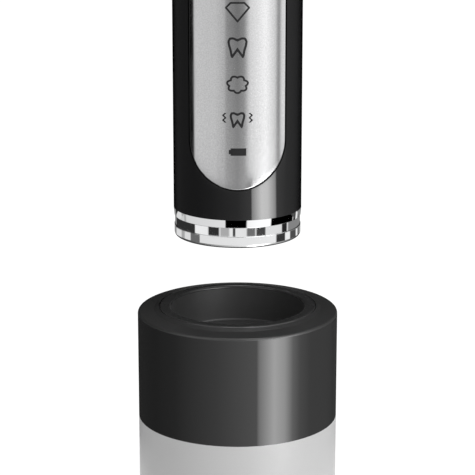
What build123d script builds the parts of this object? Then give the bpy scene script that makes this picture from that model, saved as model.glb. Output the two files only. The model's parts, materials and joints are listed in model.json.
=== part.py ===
from build123d import *
from math import cos, radians, sqrt
import os

os.makedirs("parts", exist_ok=True)

# Sonic toothbrush with an induction charger, in millimetres. +Z is up. The origin is on the common
# axis, at the bottom of the charger's rubber foot. The steel panel and the bristles face -Y. The
# toothbrush is drawn lifted off its charger, above the charging cup.

# Clearances
FIT = 0.1
RUNNING_FIT = 0.04
SLIDING_FIT = 0.2
AIR_GAP = 0.4
SEAM_GAP = 0.25

# Charger sizes
CHARGER_DIAMETER = 44.4
CHARGER_WALL = 2.0
BASE_HEIGHT = 20.0
COLLAR_HEIGHT = 24.2
BASE_EDGE = 0.8
COLLAR_EDGE = 0.6
SHOULDER_WIDTH = 1.1
SHOULDER_DROP = 0.5
SPIGOT_HEIGHT = 4.0
SPIGOT_WALL = 1.4
CUP_DEPTH = 8.1
CUP_CLEARANCE = 0.9
CUP_DRAFT = 0.3
CUP_WALL = 1.5
LIP_WIDTH = 1.0
LIP_RISE = 1.2
LIP_STEP = 0.2
LIP_SEAT = 0.9
LIP_EDGE = 0.5
LIP_ROUNDING = 0.5
DECK_THICKNESS = 1.6
FOOT_STAND = 0.8
FOOT_SUNK = 0.8
FOOT_WIDTH = 3.0
FOOT_INSET = 1.0
PLATE_THICKNESS = 2.6
BOSS_RADIUS = 2.4
BOSS_HEIGHT = 8.0
RIB_THICKNESS = 1.6
BALLAST_THICKNESS = 5.0
CHARGER_BOARD_THICKNESS = 1.2
CHARGER_BOARD_GAP = 0.6
CAPACITOR_RADIUS = 3.2
CAPACITOR_HEIGHT = 8.0
CHOKE_RADIUS = 2.6
CHOKE_HEIGHT = 3.4
CHIP_WIDTH = 4.0
CHIP_LENGTH = 5.0
CHIP_HEIGHT = 1.5
COMPONENT_PITCH = 6.0
BOBBIN_HEIGHT = 6.0
BOBBIN_FLANGE = 0.8
BOBBIN_CORE_RADIUS = 5.0
BOBBIN_BORE_RADIUS = 4.1
FERRITE_THICKNESS = 1.6
COIL_LEAD_RADIUS = 0.4
SOCKET_WIDTH = 9.0
SOCKET_HEIGHT = 3.3
SOCKET_LENGTH = 7.4
SOCKET_WALL = 0.35
SOCKET_SETBACK = 1.3
SOCKET_BEZEL_MARGIN = 2.0
SOCKET_BEZEL_DEPTH = 0.9
TONGUE_WIDTH = 6.6
TONGUE_THICKNESS = 0.7
TONGUE_LENGTH = 5.0

# Screws of the charger
SCREW_COUNT = 3
SCREW_RADIUS = 1.1
SCREW_HEAD_RADIUS = 2.0
SCREW_HEAD_HEIGHT = 1.3
SCREW_BITE = 3.2
SCREW_SINK = 0.2
SCREW_MARGIN = 0.6
SCREW_START_ANGLE = 30

# Handle sizes
LIFT_GAP = 16.4
HANDLE_DIAMETER = 28.0
HANDLE_LENGTH = 178.0
HOUSING_WALL = 1.6
TAPER_LENGTH = 28.0
NECK_DIAMETER = 19.0
RING_HEIGHT = 6.2
RING_LOWER_BAND = 2.55
RING_GROOVE = 1.9
RING_GROOVE_DEPTH = 0.12
RING_STEP = 0.15
RING_EDGE = 0.7
RING_BAND_EDGE = 0.1
NECK_RING_HEIGHT = 2.0
NECK_RING_EDGE = 0.6
CAP_RECESS = 0.3
CAP_FLANGE_LAP = 0.5
CAP_LENGTH = 14.0
CAP_WALL = 2.2
CAP_FLOOR = 1.2
SEAL_GROOVE_DEPTH = 0.9
SEAL_GROOVE_HEIGHT = 1.9
SEAL_GROOVE_CENTRE = 10.0
SEAL_SQUEEZE = 0.05
SHAFT_SEAL_RADIUS = 5.9
SHAFT_SEAL_LAP = 1.2
SHAFT_SEAL_RISE = 1.2

# Front panel, mode lights and power button. The panel's bottom and the lights are given as heights
# above the handle's bottom.
PANEL_WIDTH = 20.2
PANEL_BOTTOM = 12.8
PANEL_ABOVE_BUTTON = 26.0
PANEL_THICKNESS = 0.6
PANEL_PROUD = 0.05
PANEL_EDGE = 0.3
MODE_LIGHT_HEIGHTS = (21.1, 27.9, 35.5, 43.2, 50.7)
LIGHT_GUIDE_WIDTH = 5.0
LIGHT_GUIDE_HEIGHT = 4.0
LED_WIDTH = 1.6
LED_HEIGHT = 0.8
LED_DEPTH = 0.8
BUTTON_DROP = 8.0
BUTTON_RADIUS = 5.0
BUTTON_PROUD = 0.4
BUTTON_EDGE = 0.25
BUTTON_TRAVEL = 0.5
BUTTON_FLANGE_LAP = 1.0
BUTTON_FLANGE_DEPTH = 2.2
BUTTON_STEM_RADIUS = 1.8
BUTTON_SEAL_RADIUS = 8.0
BUTTON_SEAL_RIM = 1.0
BUTTON_SEAL_THICKNESS = 0.6
BUTTON_SEAL_GAP = 0.8

# Electronics inside the handle
BOARD_THICKNESS = 1.0
BOARD_BATTERY_GAP = 0.65
BOARD_TOP_MARGIN = 1.0
BOARD_CHIP_WIDTH = 5.0
BOARD_CHIP_HEIGHT = 1.2
BOARD_CHIP_SPACING = 8.0
SWITCH_WIDTH = 6.0
SWITCH_DEPTH = 2.4
PLUNGER_RADIUS = 1.5
PLUNGER_STAND = 0.7
PLUNGER_SUNK = 1.2
PLUNGER_GAP = 0.05
FRAME_WALL = 1.2
FRAME_END_WALL = 1.5
FRAME_MOTOR_GAP = 8.0
BATTERY_DIAMETER = 14.0
BATTERY_LENGTH = 50.0
BATTERY_GAP = 0.15
TAB_THICKNESS = 0.25
TAB_WIDTH = 4.0
RECEIVER_LEAD_RADIUS = 0.4
RECEIVER_LEAD_SPACING = 4.0
RECEIVER_COIL_HEIGHT = 3.5
RECEIVER_COIL_INNER = 3.6
RECEIVER_COIL_OUTER = 8.6
RECEIVER_FERRITE_THICKNESS = 1.5

# Motor
MOTOR_DIAMETER = 21.0
MOTOR_LENGTH = 42.0
MOTOR_WALL = 0.7
MOTOR_TOP_GAP = 20.0
MOTOR_PLATE_THICKNESS = 3.0
DAMPER_HEIGHT = 3.0
DAMPER_INSET = 2.0
BEARING_RADIUS = 3.5
SHAFT_RADIUS = 2.0
SHAFT_STAND = 22.0
SHAFT_TAIL = 3.5
SHAFT_FLAT_DEPTH = 0.6
SHAFT_FLAT_LENGTH = 12.0
YOKE_RADIUS = 4.6
MAGNET_RADIUS = 6.0
MAGNET_COUNT = 4
MAGNET_SPLIT = 1.6
MAGNET_LENGTH = 20.0
STATOR_BACK = 1.25
POLE_WIDTH = 3.2
COIL_THICKNESS = 1.3
COIL_SETBACK = 0.3
LEAF_THICKNESS = 0.5
LEAF_WIDTH = 3.4
LEAF_CLEARANCE = 0.25
LEAF_TIP_GAP = 0.3
SHAFT_SLOT_DEPTH = 3.0
LEAF_ROOT = 2.0
ANCHOR_WIDTH = 6.0
ANCHOR_DEPTH = 5.0
ANCHOR_HEIGHT = 3.0

# Brush head
HEAD_GAP = 1.2
STEM_BASE_RADIUS = 7.0
STEM_BASE_HEIGHT = 7.0
STEM_NECK_RADIUS = 3.3
STEM_WAIST_HEIGHT = 38.0
STEM_LENGTH = 54.0
STEM_RING_HEIGHT = 2.2
STEM_RING_START = 2.6
STEM_RING_DEPTH = 0.5
SLEEVE_WALL = 1.0
SLEEVE_START = 2.4
PADDLE_WIDTH = 11.6
PADDLE_LENGTH = 25.0
PADDLE_FRONT = 2.4
PADDLE_BACK = 2.4
PADDLE_EDGE = 1.2
PAD_MARGIN = 1.0
PAD_THICKNESS = 0.8
TUFT_MARGIN = 0.1
TUFT_PITCH_X = 1.9
TUFT_PITCH_Z = 2.05
TUFT_COLUMNS = 5
TUFT_ROWS = 11
STRANDS_PER_SIDE = 3
STRAND_PITCH = 0.46
STRAND_WIDTH = 0.3
STRAND_LENGTH = 9.6
TRIM_WAVE = 0.9

# Heights and radii of the charger that follow
charger_radius = CHARGER_DIAMETER / 2
charger_bore = charger_radius - CHARGER_WALL
base_low = FOOT_STAND
base_high = base_low + BASE_HEIGHT
rim_high = base_high + COLLAR_HEIGHT
lip_high = rim_high + LIP_RISE
handle_radius = HANDLE_DIAMETER / 2
cup_radius = handle_radius + CUP_CLEARANCE
cup_floor = lip_high - CUP_DEPTH
cup_floor_radius = cup_radius - CUP_DRAFT
cup_outer = cup_radius + CUP_WALL
cup_low = cup_floor - CUP_WALL
lip_radius = cup_outer + LIP_WIDTH
lip_seat_radius = lip_radius + FIT
shoulder_high = lip_high - LIP_STEP
shoulder_low = shoulder_high - SHOULDER_DROP
ledge_high = rim_high - LIP_SEAT
deck_low = ledge_high - DECK_THICKNESS
plate_radius = charger_bore - FIT
plate_high = base_low + PLATE_THICKNESS
foot_outer = plate_radius - FOOT_INSET
foot_inner = foot_outer - FOOT_WIDTH
boss_pitch = foot_inner - SCREW_HEAD_RADIUS - SCREW_MARGIN
board_low = plate_high + BOSS_HEIGHT
board_high = board_low + CHARGER_BOARD_THICKNESS
bobbin_low = cup_low - BOBBIN_HEIGHT
bobbin_radius = cup_outer - SCREW_MARGIN
lead_pitch = bobbin_radius - 2 * COIL_LEAD_RADIUS
ferrite_radius = lead_pitch - 2 * COIL_LEAD_RADIUS
ferrite_low = bobbin_low - FERRITE_THICKNESS
socket_middle = board_high + SOCKET_HEIGHT / 2
socket_mouth = charger_radius - SOCKET_SETBACK

# Heights and radii of the handle that follow
bottom = lip_high + LIFT_GAP
ring_top = bottom + RING_HEIGHT
housing_top = bottom + HANDLE_LENGTH
housing_bore = handle_radius - HOUSING_WALL
taper_start = housing_top - TAPER_LENGTH
neck_radius = NECK_DIAMETER / 2
taper_drop = handle_radius - neck_radius
taper_arc = (taper_drop**2 + TAPER_LENGTH**2) / (2 * taper_drop)
top_inside = housing_top - HOUSING_WALL
top_reach = sqrt((taper_arc - HOUSING_WALL) ** 2 - (top_inside - taper_start) ** 2)
top_bore = handle_radius - taper_arc + top_reach
ring_radius = handle_radius - RING_STEP
cap_radius = housing_bore - FIT
cap_flange_radius = cap_radius + CAP_FLANGE_LAP
cap_low = bottom + CAP_RECESS
cap_high = bottom + CAP_LENGTH
cap_inside = cap_radius - CAP_WALL
cap_floor_high = cap_low + CAP_FLOOR
seal_groove_radius = cap_radius - SEAL_GROOVE_DEPTH
seal_middle = bottom + SEAL_GROOVE_CENTRE
receiver_top = cap_floor_high + RECEIVER_COIL_HEIGHT
receiver_ferrite_high = receiver_top + RECEIVER_FERRITE_THICKNESS
panel_outer = handle_radius + PANEL_PROUD
panel_inner = panel_outer - PANEL_THICKNESS
motor_radius = MOTOR_DIAMETER / 2
motor_bore = motor_radius - MOTOR_WALL
motor_high = housing_top - MOTOR_TOP_GAP
motor_low = motor_high - MOTOR_LENGTH
motor_middle = (motor_low + motor_high) / 2
magnet_low = motor_middle - MAGNET_LENGTH / 2
magnet_high = magnet_low + MAGNET_LENGTH
stator_inner = motor_bore - STATOR_BACK
pole_radius = MAGNET_RADIUS + AIR_GAP
coil_half = POLE_WIDTH / 2 + COIL_THICKNESS
coil_near = pole_radius + COIL_SETBACK
coil_far = sqrt((stator_inner - FIT) ** 2 - coil_half**2)
frame_radius = housing_bore - SLIDING_FIT
frame_inside = frame_radius - FRAME_WALL
frame_low = cap_high
frame_high = motor_low - FRAME_MOTOR_GAP
battery_radius = BATTERY_DIAMETER / 2
battery_y = frame_inside - battery_radius - BATTERY_GAP
battery_low = frame_low + FRAME_END_WALL + TAB_THICKNESS
battery_high = battery_low + BATTERY_LENGTH
frame_shelf = battery_high + TAB_THICKNESS
board_back = battery_radius - battery_y + BOARD_BATTERY_GAP
board_front = board_back + BOARD_THICKNESS
board_half = sqrt(frame_radius**2 - board_front**2) - FIT
board_bottom = frame_low
board_top = frame_high - BOARD_TOP_MARGIN
button_z = frame_high - BUTTON_DROP
button_hole = BUTTON_RADIUS + SLIDING_FIT
button_flange_radius = BUTTON_RADIUS + BUTTON_FLANGE_LAP
button_flange_face = housing_bore - SLIDING_FIT
button_flange_back = button_flange_face - BUTTON_FLANGE_DEPTH
button_seal_front = button_flange_back - BUTTON_SEAL_GAP
button_seal_back = button_seal_front - BUTTON_SEAL_THICKNESS
switch_front = board_front + SWITCH_DEPTH
plunger_front = switch_front + PLUNGER_STAND
button_back = plunger_front + PLUNGER_GAP
led_front = board_front + LED_DEPTH
panel_low = bottom + PANEL_BOTTOM
panel_high = button_z + PANEL_ABOVE_BUTTON
panel_length = panel_high - panel_low
panel_middle = (panel_low + panel_high) / 2
shaft_bore = SHAFT_RADIUS + RUNNING_FIT
shaft_low = motor_low - SHAFT_TAIL
slot_high = shaft_low + SHAFT_SLOT_DEPTH
leaf_low = frame_high + ANCHOR_HEIGHT - LEAF_ROOT
neck_ring_high = housing_top + NECK_RING_HEIGHT
stem_low = neck_ring_high + HEAD_GAP
shaft_high = housing_top + SHAFT_STAND
flat_low = shaft_high - SHAFT_FLAT_LENGTH
sleeve_low = stem_low + SLEEVE_START
sleeve_high = shaft_high + FIT
sleeve_radius = shaft_bore + SLEEVE_WALL
stem_tip_radius = PADDLE_FRONT - FIT
paddle_low = stem_low + STEM_LENGTH - PADDLE_WIDTH / 2
paddle_middle = paddle_low + PADDLE_LENGTH / 2
pad_length = PADDLE_LENGTH - 2 * PAD_MARGIN
pad_width = PADDLE_WIDTH - 2 * PAD_MARGIN


def turn(points, mode=Mode.ADD):
    """Turn a closed outline of (radius, height) points about the upright axis."""
    with BuildSketch(Plane.XZ) as outline:
        with BuildLine():
            Polyline(*points, close=True)
        make_face()
    revolve(outline.sketch, axis=Axis.Z, mode=mode)


def ring(outer, inner, low, high, mode=Mode.ADD):
    """A ring between two heights. An inner radius of 0 makes it a disc."""
    with BuildSketch(Plane.XY.offset(low)) as section:
        Circle(outer)
        if inner:
            Circle(inner, mode=Mode.SUBTRACT)
    extrude(section.sketch, amount=high - low, mode=mode)


def bar(width, depth, low, high, centre=(0, 0), mode=Mode.ADD):
    """An upright rectangular bar between two heights, centred on a point in plan."""
    with BuildSketch(Plane.XY.offset(low)) as section:
        with Locations(centre):
            Rectangle(width, depth)
    extrude(section.sketch, amount=high - low, mode=mode)


def front_push(outline, back, mode=Mode.ADD):
    """Push an outline on the XZ plane out to -Y, from a flat back to beyond the handle's surface."""
    extrude(outline.moved(Location((0, -back, 0))), amount=HANDLE_DIAMETER, mode=mode)


def trim(radius, mode=Mode.INTERSECT):
    """Keep only what lies within an upright cylinder along the handle."""
    ring(radius, 0, bottom, housing_top, mode=mode)


def front_circle(radius, height):
    """A round outline on the XZ plane at a height."""
    with BuildSketch(Plane.XZ) as outline:
        with Locations((0, height)):
            Circle(radius)
    return outline.sketch


def front_lights(width, tall):
    """Rectangles on the XZ plane at the heights of the mode lights."""
    with BuildSketch(Plane.XZ) as outline:
        with Locations(*[(0, bottom + height) for height in MODE_LIGHT_HEIGHTS]):
            Rectangle(width, tall)
    return outline.sketch


def front_stadium(margin):
    """The panel's outline on the XZ plane, grown by a margin all round."""
    with BuildSketch(Plane.XZ) as outline:
        with Locations((0, panel_middle)):
            SlotOverall(panel_length + 2 * margin, PANEL_WIDTH + 2 * margin, rotation=90)
    return outline.sketch


def write(builder, name):
    """Label a finished piece and write its STEP file."""
    builder.part.label = name
    export_step(builder.part, f"parts/{name}.step")


# Charger: rubber foot ring, sunk in a groove of the base plate
with BuildPart() as foot_ring:
    ring(foot_outer, foot_inner, 0, base_low + FOOT_SUNK)
write(foot_ring, "foot_ring")

# Charger: base plate with the foot's groove and counterbored screw holes from below
with BuildPart() as base_plate:
    ring(plate_radius, 0, base_low, plate_high)
    ring(foot_outer + FIT, foot_inner - FIT, base_low, base_low + FOOT_SUNK, mode=Mode.SUBTRACT)
    with Locations(Plane((0, 0, base_low), x_dir=(1, 0, 0), z_dir=(0, 0, -1))):
        with PolarLocations(boss_pitch, SCREW_COUNT, start_angle=-SCREW_START_ANGLE):
            CounterBoreHole(
                SCREW_RADIUS + FIT,
                SCREW_HEAD_RADIUS + FIT,
                SCREW_HEAD_HEIGHT + SCREW_SINK,
                PLATE_THICKNESS,
            )
write(base_plate, "base_plate")

# Charger: light grey shell with a spigot for the collar, ribbed screw bosses and the socket's opening
with BuildPart() as base_shell:
    spigot_outer = charger_bore - FIT
    spigot_inner = spigot_outer - SPIGOT_WALL
    turn(
        [
            (charger_radius - BASE_EDGE, base_low),
            (charger_radius, base_low + BASE_EDGE),
            (charger_radius, base_high),
            (spigot_outer, base_high),
            (spigot_outer, base_high + SPIGOT_HEIGHT),
            (spigot_inner, base_high + SPIGOT_HEIGHT),
            (spigot_inner, base_high - SPIGOT_WALL),
            (charger_bore, base_high - 2 * SPIGOT_WALL - FIT),
            (charger_bore, base_low),
        ]
    )
    with BuildSketch(Plane.XY.offset(plate_high)) as boss_plan:
        with PolarLocations(boss_pitch, SCREW_COUNT, start_angle=SCREW_START_ANGLE):
            Circle(BOSS_RADIUS)
        with PolarLocations((boss_pitch + charger_bore) / 2, SCREW_COUNT, start_angle=SCREW_START_ANGLE):
            Rectangle(charger_bore - boss_pitch + CHARGER_WALL / 2, RIB_THICKNESS)
        with PolarLocations(boss_pitch, SCREW_COUNT, start_angle=SCREW_START_ANGLE):
            Circle(SCREW_RADIUS + RUNNING_FIT, mode=Mode.SUBTRACT)
    extrude(amount=BOSS_HEIGHT)
    with BuildSketch(Plane.XZ.offset(-charger_radius - FIT)) as socket_opening:
        with Locations((0, socket_middle)):
            SlotOverall(SOCKET_WIDTH + 2 * FIT, SOCKET_HEIGHT + 2 * FIT)
    extrude(amount=CHARGER_WALL * 2, mode=Mode.SUBTRACT)
    with BuildSketch(Plane.XZ.offset(-charger_radius - FIT)) as socket_bezel:
        with Locations((0, socket_middle)):
            SlotOverall(SOCKET_WIDTH + 2 * SOCKET_BEZEL_MARGIN, SOCKET_HEIGHT + 2 * SOCKET_BEZEL_MARGIN)
    extrude(amount=SOCKET_BEZEL_DEPTH + FIT, mode=Mode.SUBTRACT)
write(base_shell, "base_shell")

# Charger: self-tapping screws, a head and a plain shank each
with BuildPart() as base_screws:
    head_low = base_low + SCREW_SINK
    with BuildSketch(Plane.XY.offset(head_low)):
        with PolarLocations(boss_pitch, SCREW_COUNT, start_angle=SCREW_START_ANGLE):
            Circle(SCREW_HEAD_RADIUS)
    extrude(amount=SCREW_HEAD_HEIGHT)
    with BuildSketch(Plane.XY.offset(head_low + SCREW_HEAD_HEIGHT)):
        with PolarLocations(boss_pitch, SCREW_COUNT, start_angle=SCREW_START_ANGLE):
            Circle(SCREW_RADIUS)
    extrude(amount=plate_high + SCREW_BITE - head_low - SCREW_HEAD_HEIGHT)
write(base_screws, "base_screws")

with BuildPart() as board_screws:
    with BuildSketch(Plane.XY.offset(board_high)):
        with PolarLocations(boss_pitch, SCREW_COUNT, start_angle=SCREW_START_ANGLE):
            Circle(SCREW_HEAD_RADIUS)
    extrude(amount=SCREW_HEAD_HEIGHT)
    with BuildSketch(Plane.XY.offset(board_low - SCREW_BITE)):
        with PolarLocations(boss_pitch, SCREW_COUNT, start_angle=SCREW_START_ANGLE):
            Circle(SCREW_RADIUS)
    extrude(amount=SCREW_BITE + CHARGER_BOARD_THICKNESS)
write(board_screws, "board_screws")

# Charger: steel ballast between the bosses
with BuildPart() as ballast_disc:
    ring(boss_pitch - BOSS_RADIUS - SEAM_GAP, 0, plate_high, plate_high + BALLAST_THICKNESS)
write(ballast_disc, "ballast_disc")

# Charger: round circuit board on the bosses
with BuildPart() as charger_board:
    ring(charger_bore - CHARGER_BOARD_GAP, 0, board_low, board_high)
    with BuildSketch(Plane.XY.offset(board_low)):
        with PolarLocations(boss_pitch, SCREW_COUNT, start_angle=SCREW_START_ANGLE):
            Circle(SCREW_RADIUS + FIT)
    extrude(amount=CHARGER_BOARD_THICKNESS, mode=Mode.SUBTRACT)
write(charger_board, "charger_board")

# Charger: capacitor, choke and driver chips on the board
with BuildPart() as charger_components:
    with BuildSketch(Plane.XY.offset(board_high)):
        with Locations((-COMPONENT_PITCH, 0)):
            Circle(CAPACITOR_RADIUS)
    extrude(amount=CAPACITOR_HEIGHT)
    with BuildSketch(Plane.XY.offset(board_high)):
        with Locations((COMPONENT_PITCH, -COMPONENT_PITCH / 2)):
            Circle(CHOKE_RADIUS)
    extrude(amount=CHOKE_HEIGHT)
    with BuildSketch(Plane.XY.offset(board_high)):
        with Locations((COMPONENT_PITCH / 6, COMPONENT_PITCH), (COMPONENT_PITCH / 6, -COMPONENT_PITCH)):
            Rectangle(CHIP_WIDTH, CHIP_LENGTH)
    extrude(amount=CHIP_HEIGHT)
write(charger_components, "charger_components")

# Charger: oval power socket at the back, a metal shell round a contact tongue
with BuildPart() as power_socket:
    with BuildSketch(Plane.XZ.offset(-socket_mouth)):
        with Locations((0, socket_middle)):
            SlotOverall(SOCKET_WIDTH, SOCKET_HEIGHT)
    extrude(amount=SOCKET_LENGTH)
    with BuildSketch(Plane.XZ.offset(-socket_mouth)):
        with Locations((0, socket_middle)):
            SlotOverall(SOCKET_WIDTH - 2 * SOCKET_WALL, SOCKET_HEIGHT - 2 * SOCKET_WALL)
    extrude(amount=SOCKET_LENGTH - SOCKET_WALL, mode=Mode.SUBTRACT)
write(power_socket, "power_socket")

with BuildPart() as socket_tongue:
    tongue_back = socket_mouth - SOCKET_LENGTH + SOCKET_WALL
    with BuildSketch(Plane.XZ.offset(-tongue_back)):
        with Locations((0, socket_middle)):
            Rectangle(TONGUE_WIDTH, TONGUE_THICKNESS)
    extrude(amount=-TONGUE_LENGTH)
write(socket_tongue, "socket_tongue")

# Charger: glossy black collar, sloping up from its rim in two steps to the seat of the cup's lip
with BuildPart() as collar:
    with BuildSketch(Plane.XZ) as collar_profile:
        with BuildLine():
            Polyline(
                (charger_radius, base_high),
                (charger_radius, rim_high),
                (lip_seat_radius + SHOULDER_WIDTH, shoulder_low),
                (lip_seat_radius, shoulder_high),
                (lip_seat_radius, ledge_high),
                (cup_outer + FIT, ledge_high),
                (cup_outer + FIT, deck_low),
                (charger_bore, deck_low),
                (charger_bore, base_high),
                close=True,
            )
        make_face()
        rim_corner = collar_profile.vertices().sort_by_distance((charger_radius, rim_high))[0]
        fillet(rim_corner, COLLAR_EDGE)
    revolve(axis=Axis.Z)
write(collar, "collar")

# Charger: charging cup, its lip seated in the collar
with BuildPart() as charging_cup:
    with BuildSketch(Plane.XZ):
        with BuildLine():
            floor_line = Line((0, cup_floor), (cup_floor_radius - LIP_EDGE, cup_floor))
            corner = JernArc(floor_line @ 1, floor_line % 1, LIP_EDGE, 90)
            side = Line(corner @ 1, (cup_radius, lip_high - LIP_EDGE))
            mouth = JernArc(side @ 1, (0, 1), LIP_EDGE, -90)
            lip_top = Line(mouth @ 1, (lip_radius - LIP_ROUNDING, lip_high))
            lip_edge = JernArc(lip_top @ 1, lip_top % 1, LIP_ROUNDING, -90)
            Polyline(
                lip_edge @ 1,
                (lip_radius, ledge_high),
                (cup_outer, ledge_high),
                (cup_outer, cup_low),
                (0, cup_low),
                floor_line @ 0,
            )
        make_face()
    revolve(axis=Axis.Z)
write(charging_cup, "charging_cup")

# Charger: coil former glued under the cup, with its winding and ferrite
with BuildPart() as coil_former:
    ring(bobbin_radius, BOBBIN_BORE_RADIUS, cup_low - BOBBIN_FLANGE, cup_low)
    ring(BOBBIN_CORE_RADIUS, BOBBIN_BORE_RADIUS, bobbin_low, cup_low)
    ring(bobbin_radius, BOBBIN_BORE_RADIUS, bobbin_low, bobbin_low + BOBBIN_FLANGE)
write(coil_former, "coil_former")

with BuildPart() as transmitter_coil:
    winding_radius = bobbin_radius - SCREW_MARGIN
    ring(winding_radius, BOBBIN_CORE_RADIUS, bobbin_low + BOBBIN_FLANGE, cup_low - BOBBIN_FLANGE)
write(transmitter_coil, "transmitter_coil")

with BuildPart() as transmitter_ferrite:
    ring(ferrite_radius, 0, ferrite_low, bobbin_low)
    ring(BOBBIN_BORE_RADIUS - FIT, 0, bobbin_low, cup_low - FIT)
write(transmitter_ferrite, "transmitter_ferrite")

with BuildPart() as coil_leads:
    with BuildSketch(Plane.XY.offset(board_high)):
        with Locations((-lead_pitch, 0), (lead_pitch, 0)):
            Circle(COIL_LEAD_RADIUS)
    extrude(amount=bobbin_low - board_high)
write(coil_leads, "coil_leads")

# Handle: chrome ring round the bottom, a lower band, a shallow groove and a slightly flared upper band
with BuildPart() as base_ring:
    groove_low = bottom + RING_LOWER_BAND
    groove_high = groove_low + RING_GROOVE
    groove_radius = ring_radius - RING_GROOVE_DEPTH
    with BuildSketch(Plane.XZ) as ring_profile:
        with BuildLine():
            foot_line = Line((cap_flange_radius + FIT, bottom), (ring_radius - RING_EDGE, bottom))
            round_edge = JernArc(foot_line @ 1, foot_line % 1, RING_EDGE, 90)
            Polyline(
                round_edge @ 1,
                (ring_radius, groove_low),
                (groove_radius, groove_low),
                (groove_radius, groove_high),
                (ring_radius, groove_high),
                (handle_radius, ring_top),
                (housing_bore, ring_top),
                (housing_bore, cap_floor_high),
                (cap_flange_radius + FIT, cap_floor_high),
                foot_line @ 0,
            )
        make_face()
        band_corners = ring_profile.vertices().filter_by(
            lambda corner: abs(corner.X - ring_radius) < FIT / 10 and corner.Y > groove_low - FIT
        )
        fillet(band_corners, RING_BAND_EDGE)
    revolve(axis=Axis.Z)
write(base_ring, "base_ring")

# Handle: end cap that plugs the housing through the chrome ring and holds the receiver coil
with BuildPart() as end_cap:
    ring(cap_radius, cap_inside, cap_low, cap_high)
    ring(cap_flange_radius, 0, cap_low, cap_floor_high)
    ring(
        housing_bore,
        seal_groove_radius,
        seal_middle - SEAL_GROOVE_HEIGHT / 2,
        seal_middle + SEAL_GROOVE_HEIGHT / 2,
        mode=Mode.SUBTRACT,
    )
write(end_cap, "end_cap")

with BuildPart() as end_cap_seal:
    with BuildSketch(Plane.XZ):
        with Locations(((housing_bore + seal_groove_radius) / 2, seal_middle)):
            Circle((housing_bore - seal_groove_radius) / 2 + SEAL_SQUEEZE)
    revolve(axis=Axis.Z)
    ring(
        housing_bore,
        seal_groove_radius,
        seal_middle - SEAL_GROOVE_HEIGHT / 2,
        seal_middle + SEAL_GROOVE_HEIGHT / 2,
        mode=Mode.INTERSECT,
    )
write(end_cap_seal, "end_cap_seal")

# Handle: receiver winding on the cap's floor, its ferrite and its leads to the main board
with BuildPart() as receiver_coil:
    ring(RECEIVER_COIL_OUTER, RECEIVER_COIL_INNER, cap_floor_high, receiver_top)
write(receiver_coil, "receiver_coil")

with BuildPart() as receiver_ferrite:
    ring(RECEIVER_COIL_INNER - FIT, 0, cap_floor_high, receiver_top)
    ring(cap_inside - FIT, 0, receiver_top, receiver_ferrite_high)
write(receiver_ferrite, "receiver_ferrite")

with BuildPart() as receiver_leads:
    with BuildSketch(Plane.XY.offset(receiver_ferrite_high)):
        with Locations((0, -(board_front + board_back) / 2)):
            with GridLocations(RECEIVER_LEAD_SPACING, 0, 2, 1):
                Circle(RECEIVER_LEAD_RADIUS)
    extrude(amount=board_bottom - receiver_ferrite_high)
write(receiver_leads, "receiver_leads")

# Cutter for the panel's pocket in the housing
with BuildPart() as panel_pocket:
    front_push(front_stadium(SEAM_GAP), board_front)
    trim(panel_inner, mode=Mode.SUBTRACT)

# Handle: glossy black housing with the panel's pocket, light windows, button hole and shaft opening
with BuildPart() as housing:
    with BuildSketch(Plane.XZ):
        with BuildLine():
            outside = Line((handle_radius, ring_top), (handle_radius, taper_start))
            shoulder = TangentArc(outside @ 1, (neck_radius, housing_top), tangent=(0, 1))
            inside = Line((housing_bore, ring_top), (housing_bore, taper_start))
            inner_shoulder = TangentArc(inside @ 1, (top_bore, top_inside), tangent=(0, 1))
            Polyline(
                shoulder @ 1,
                (SHAFT_SEAL_RADIUS, housing_top),
                (SHAFT_SEAL_RADIUS, top_inside),
                inner_shoulder @ 1,
            )
            Line(inside @ 0, outside @ 0)
        make_face()
    revolve(axis=Axis.Z)
    add(panel_pocket.part, mode=Mode.SUBTRACT)
    window_outline = front_lights(LIGHT_GUIDE_WIDTH + 2 * FIT, LIGHT_GUIDE_HEIGHT + 2 * FIT)
    front_push(window_outline, board_front, mode=Mode.SUBTRACT)
    front_push(front_circle(button_hole, button_z), board_front, mode=Mode.SUBTRACT)
write(housing, "housing")

# Handle: blasted steel front panel, curved with the housing, with its edge rounded
with BuildPart() as steel_panel:
    front_push(front_stadium(0), board_front)
    front_push(front_circle(button_hole, button_z), board_front, mode=Mode.SUBTRACT)
    trim(panel_outer)
    trim(panel_inner, mode=Mode.SUBTRACT)
    panel_faces = steel_panel.faces().filter_by(GeomType.CYLINDER).sort_by(SortBy.AREA)
    front_face = panel_faces.filter_by(lambda face: abs(face.radius - panel_outer) < FIT / 10)[0]
    fillet(front_face.outer_wire().edges(), PANEL_EDGE)
write(steel_panel, "steel_panel")

# Handle: light guides behind the panel, one for each mode light, and their lamps on the main board
with BuildPart() as light_guides:
    front_push(front_lights(LIGHT_GUIDE_WIDTH, LIGHT_GUIDE_HEIGHT), led_front + FIT)
    trim(panel_inner)
write(light_guides, "light_guides")

with BuildPart() as mode_lamps:
    lamp_outline = front_lights(LED_WIDTH, LED_HEIGHT)
    extrude(lamp_outline.moved(Location((0, -board_front, 0))), amount=LED_DEPTH)
write(mode_lamps, "mode_lamps")

# Handle: main board on the edges of the inner frame, with chips on its back
with BuildPart() as main_board:
    board_y = -(board_front + board_back) / 2
    bar(2 * board_half, BOARD_THICKNESS, board_bottom, board_top, (0, board_y))
write(main_board, "main_board")

with BuildPart() as board_chips:
    chip_row = (frame_shelf + FRAME_END_WALL + frame_high - FRAME_END_WALL) / 2
    with BuildSketch(Plane.XZ.offset(board_back)):
        with Locations((0, chip_row)):
            with GridLocations(BOARD_CHIP_SPACING, BOARD_CHIP_SPACING, 2, 2):
                Rectangle(BOARD_CHIP_WIDTH, BOARD_CHIP_WIDTH)
    extrude(amount=-BOARD_CHIP_HEIGHT)
write(board_chips, "board_chips")

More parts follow.
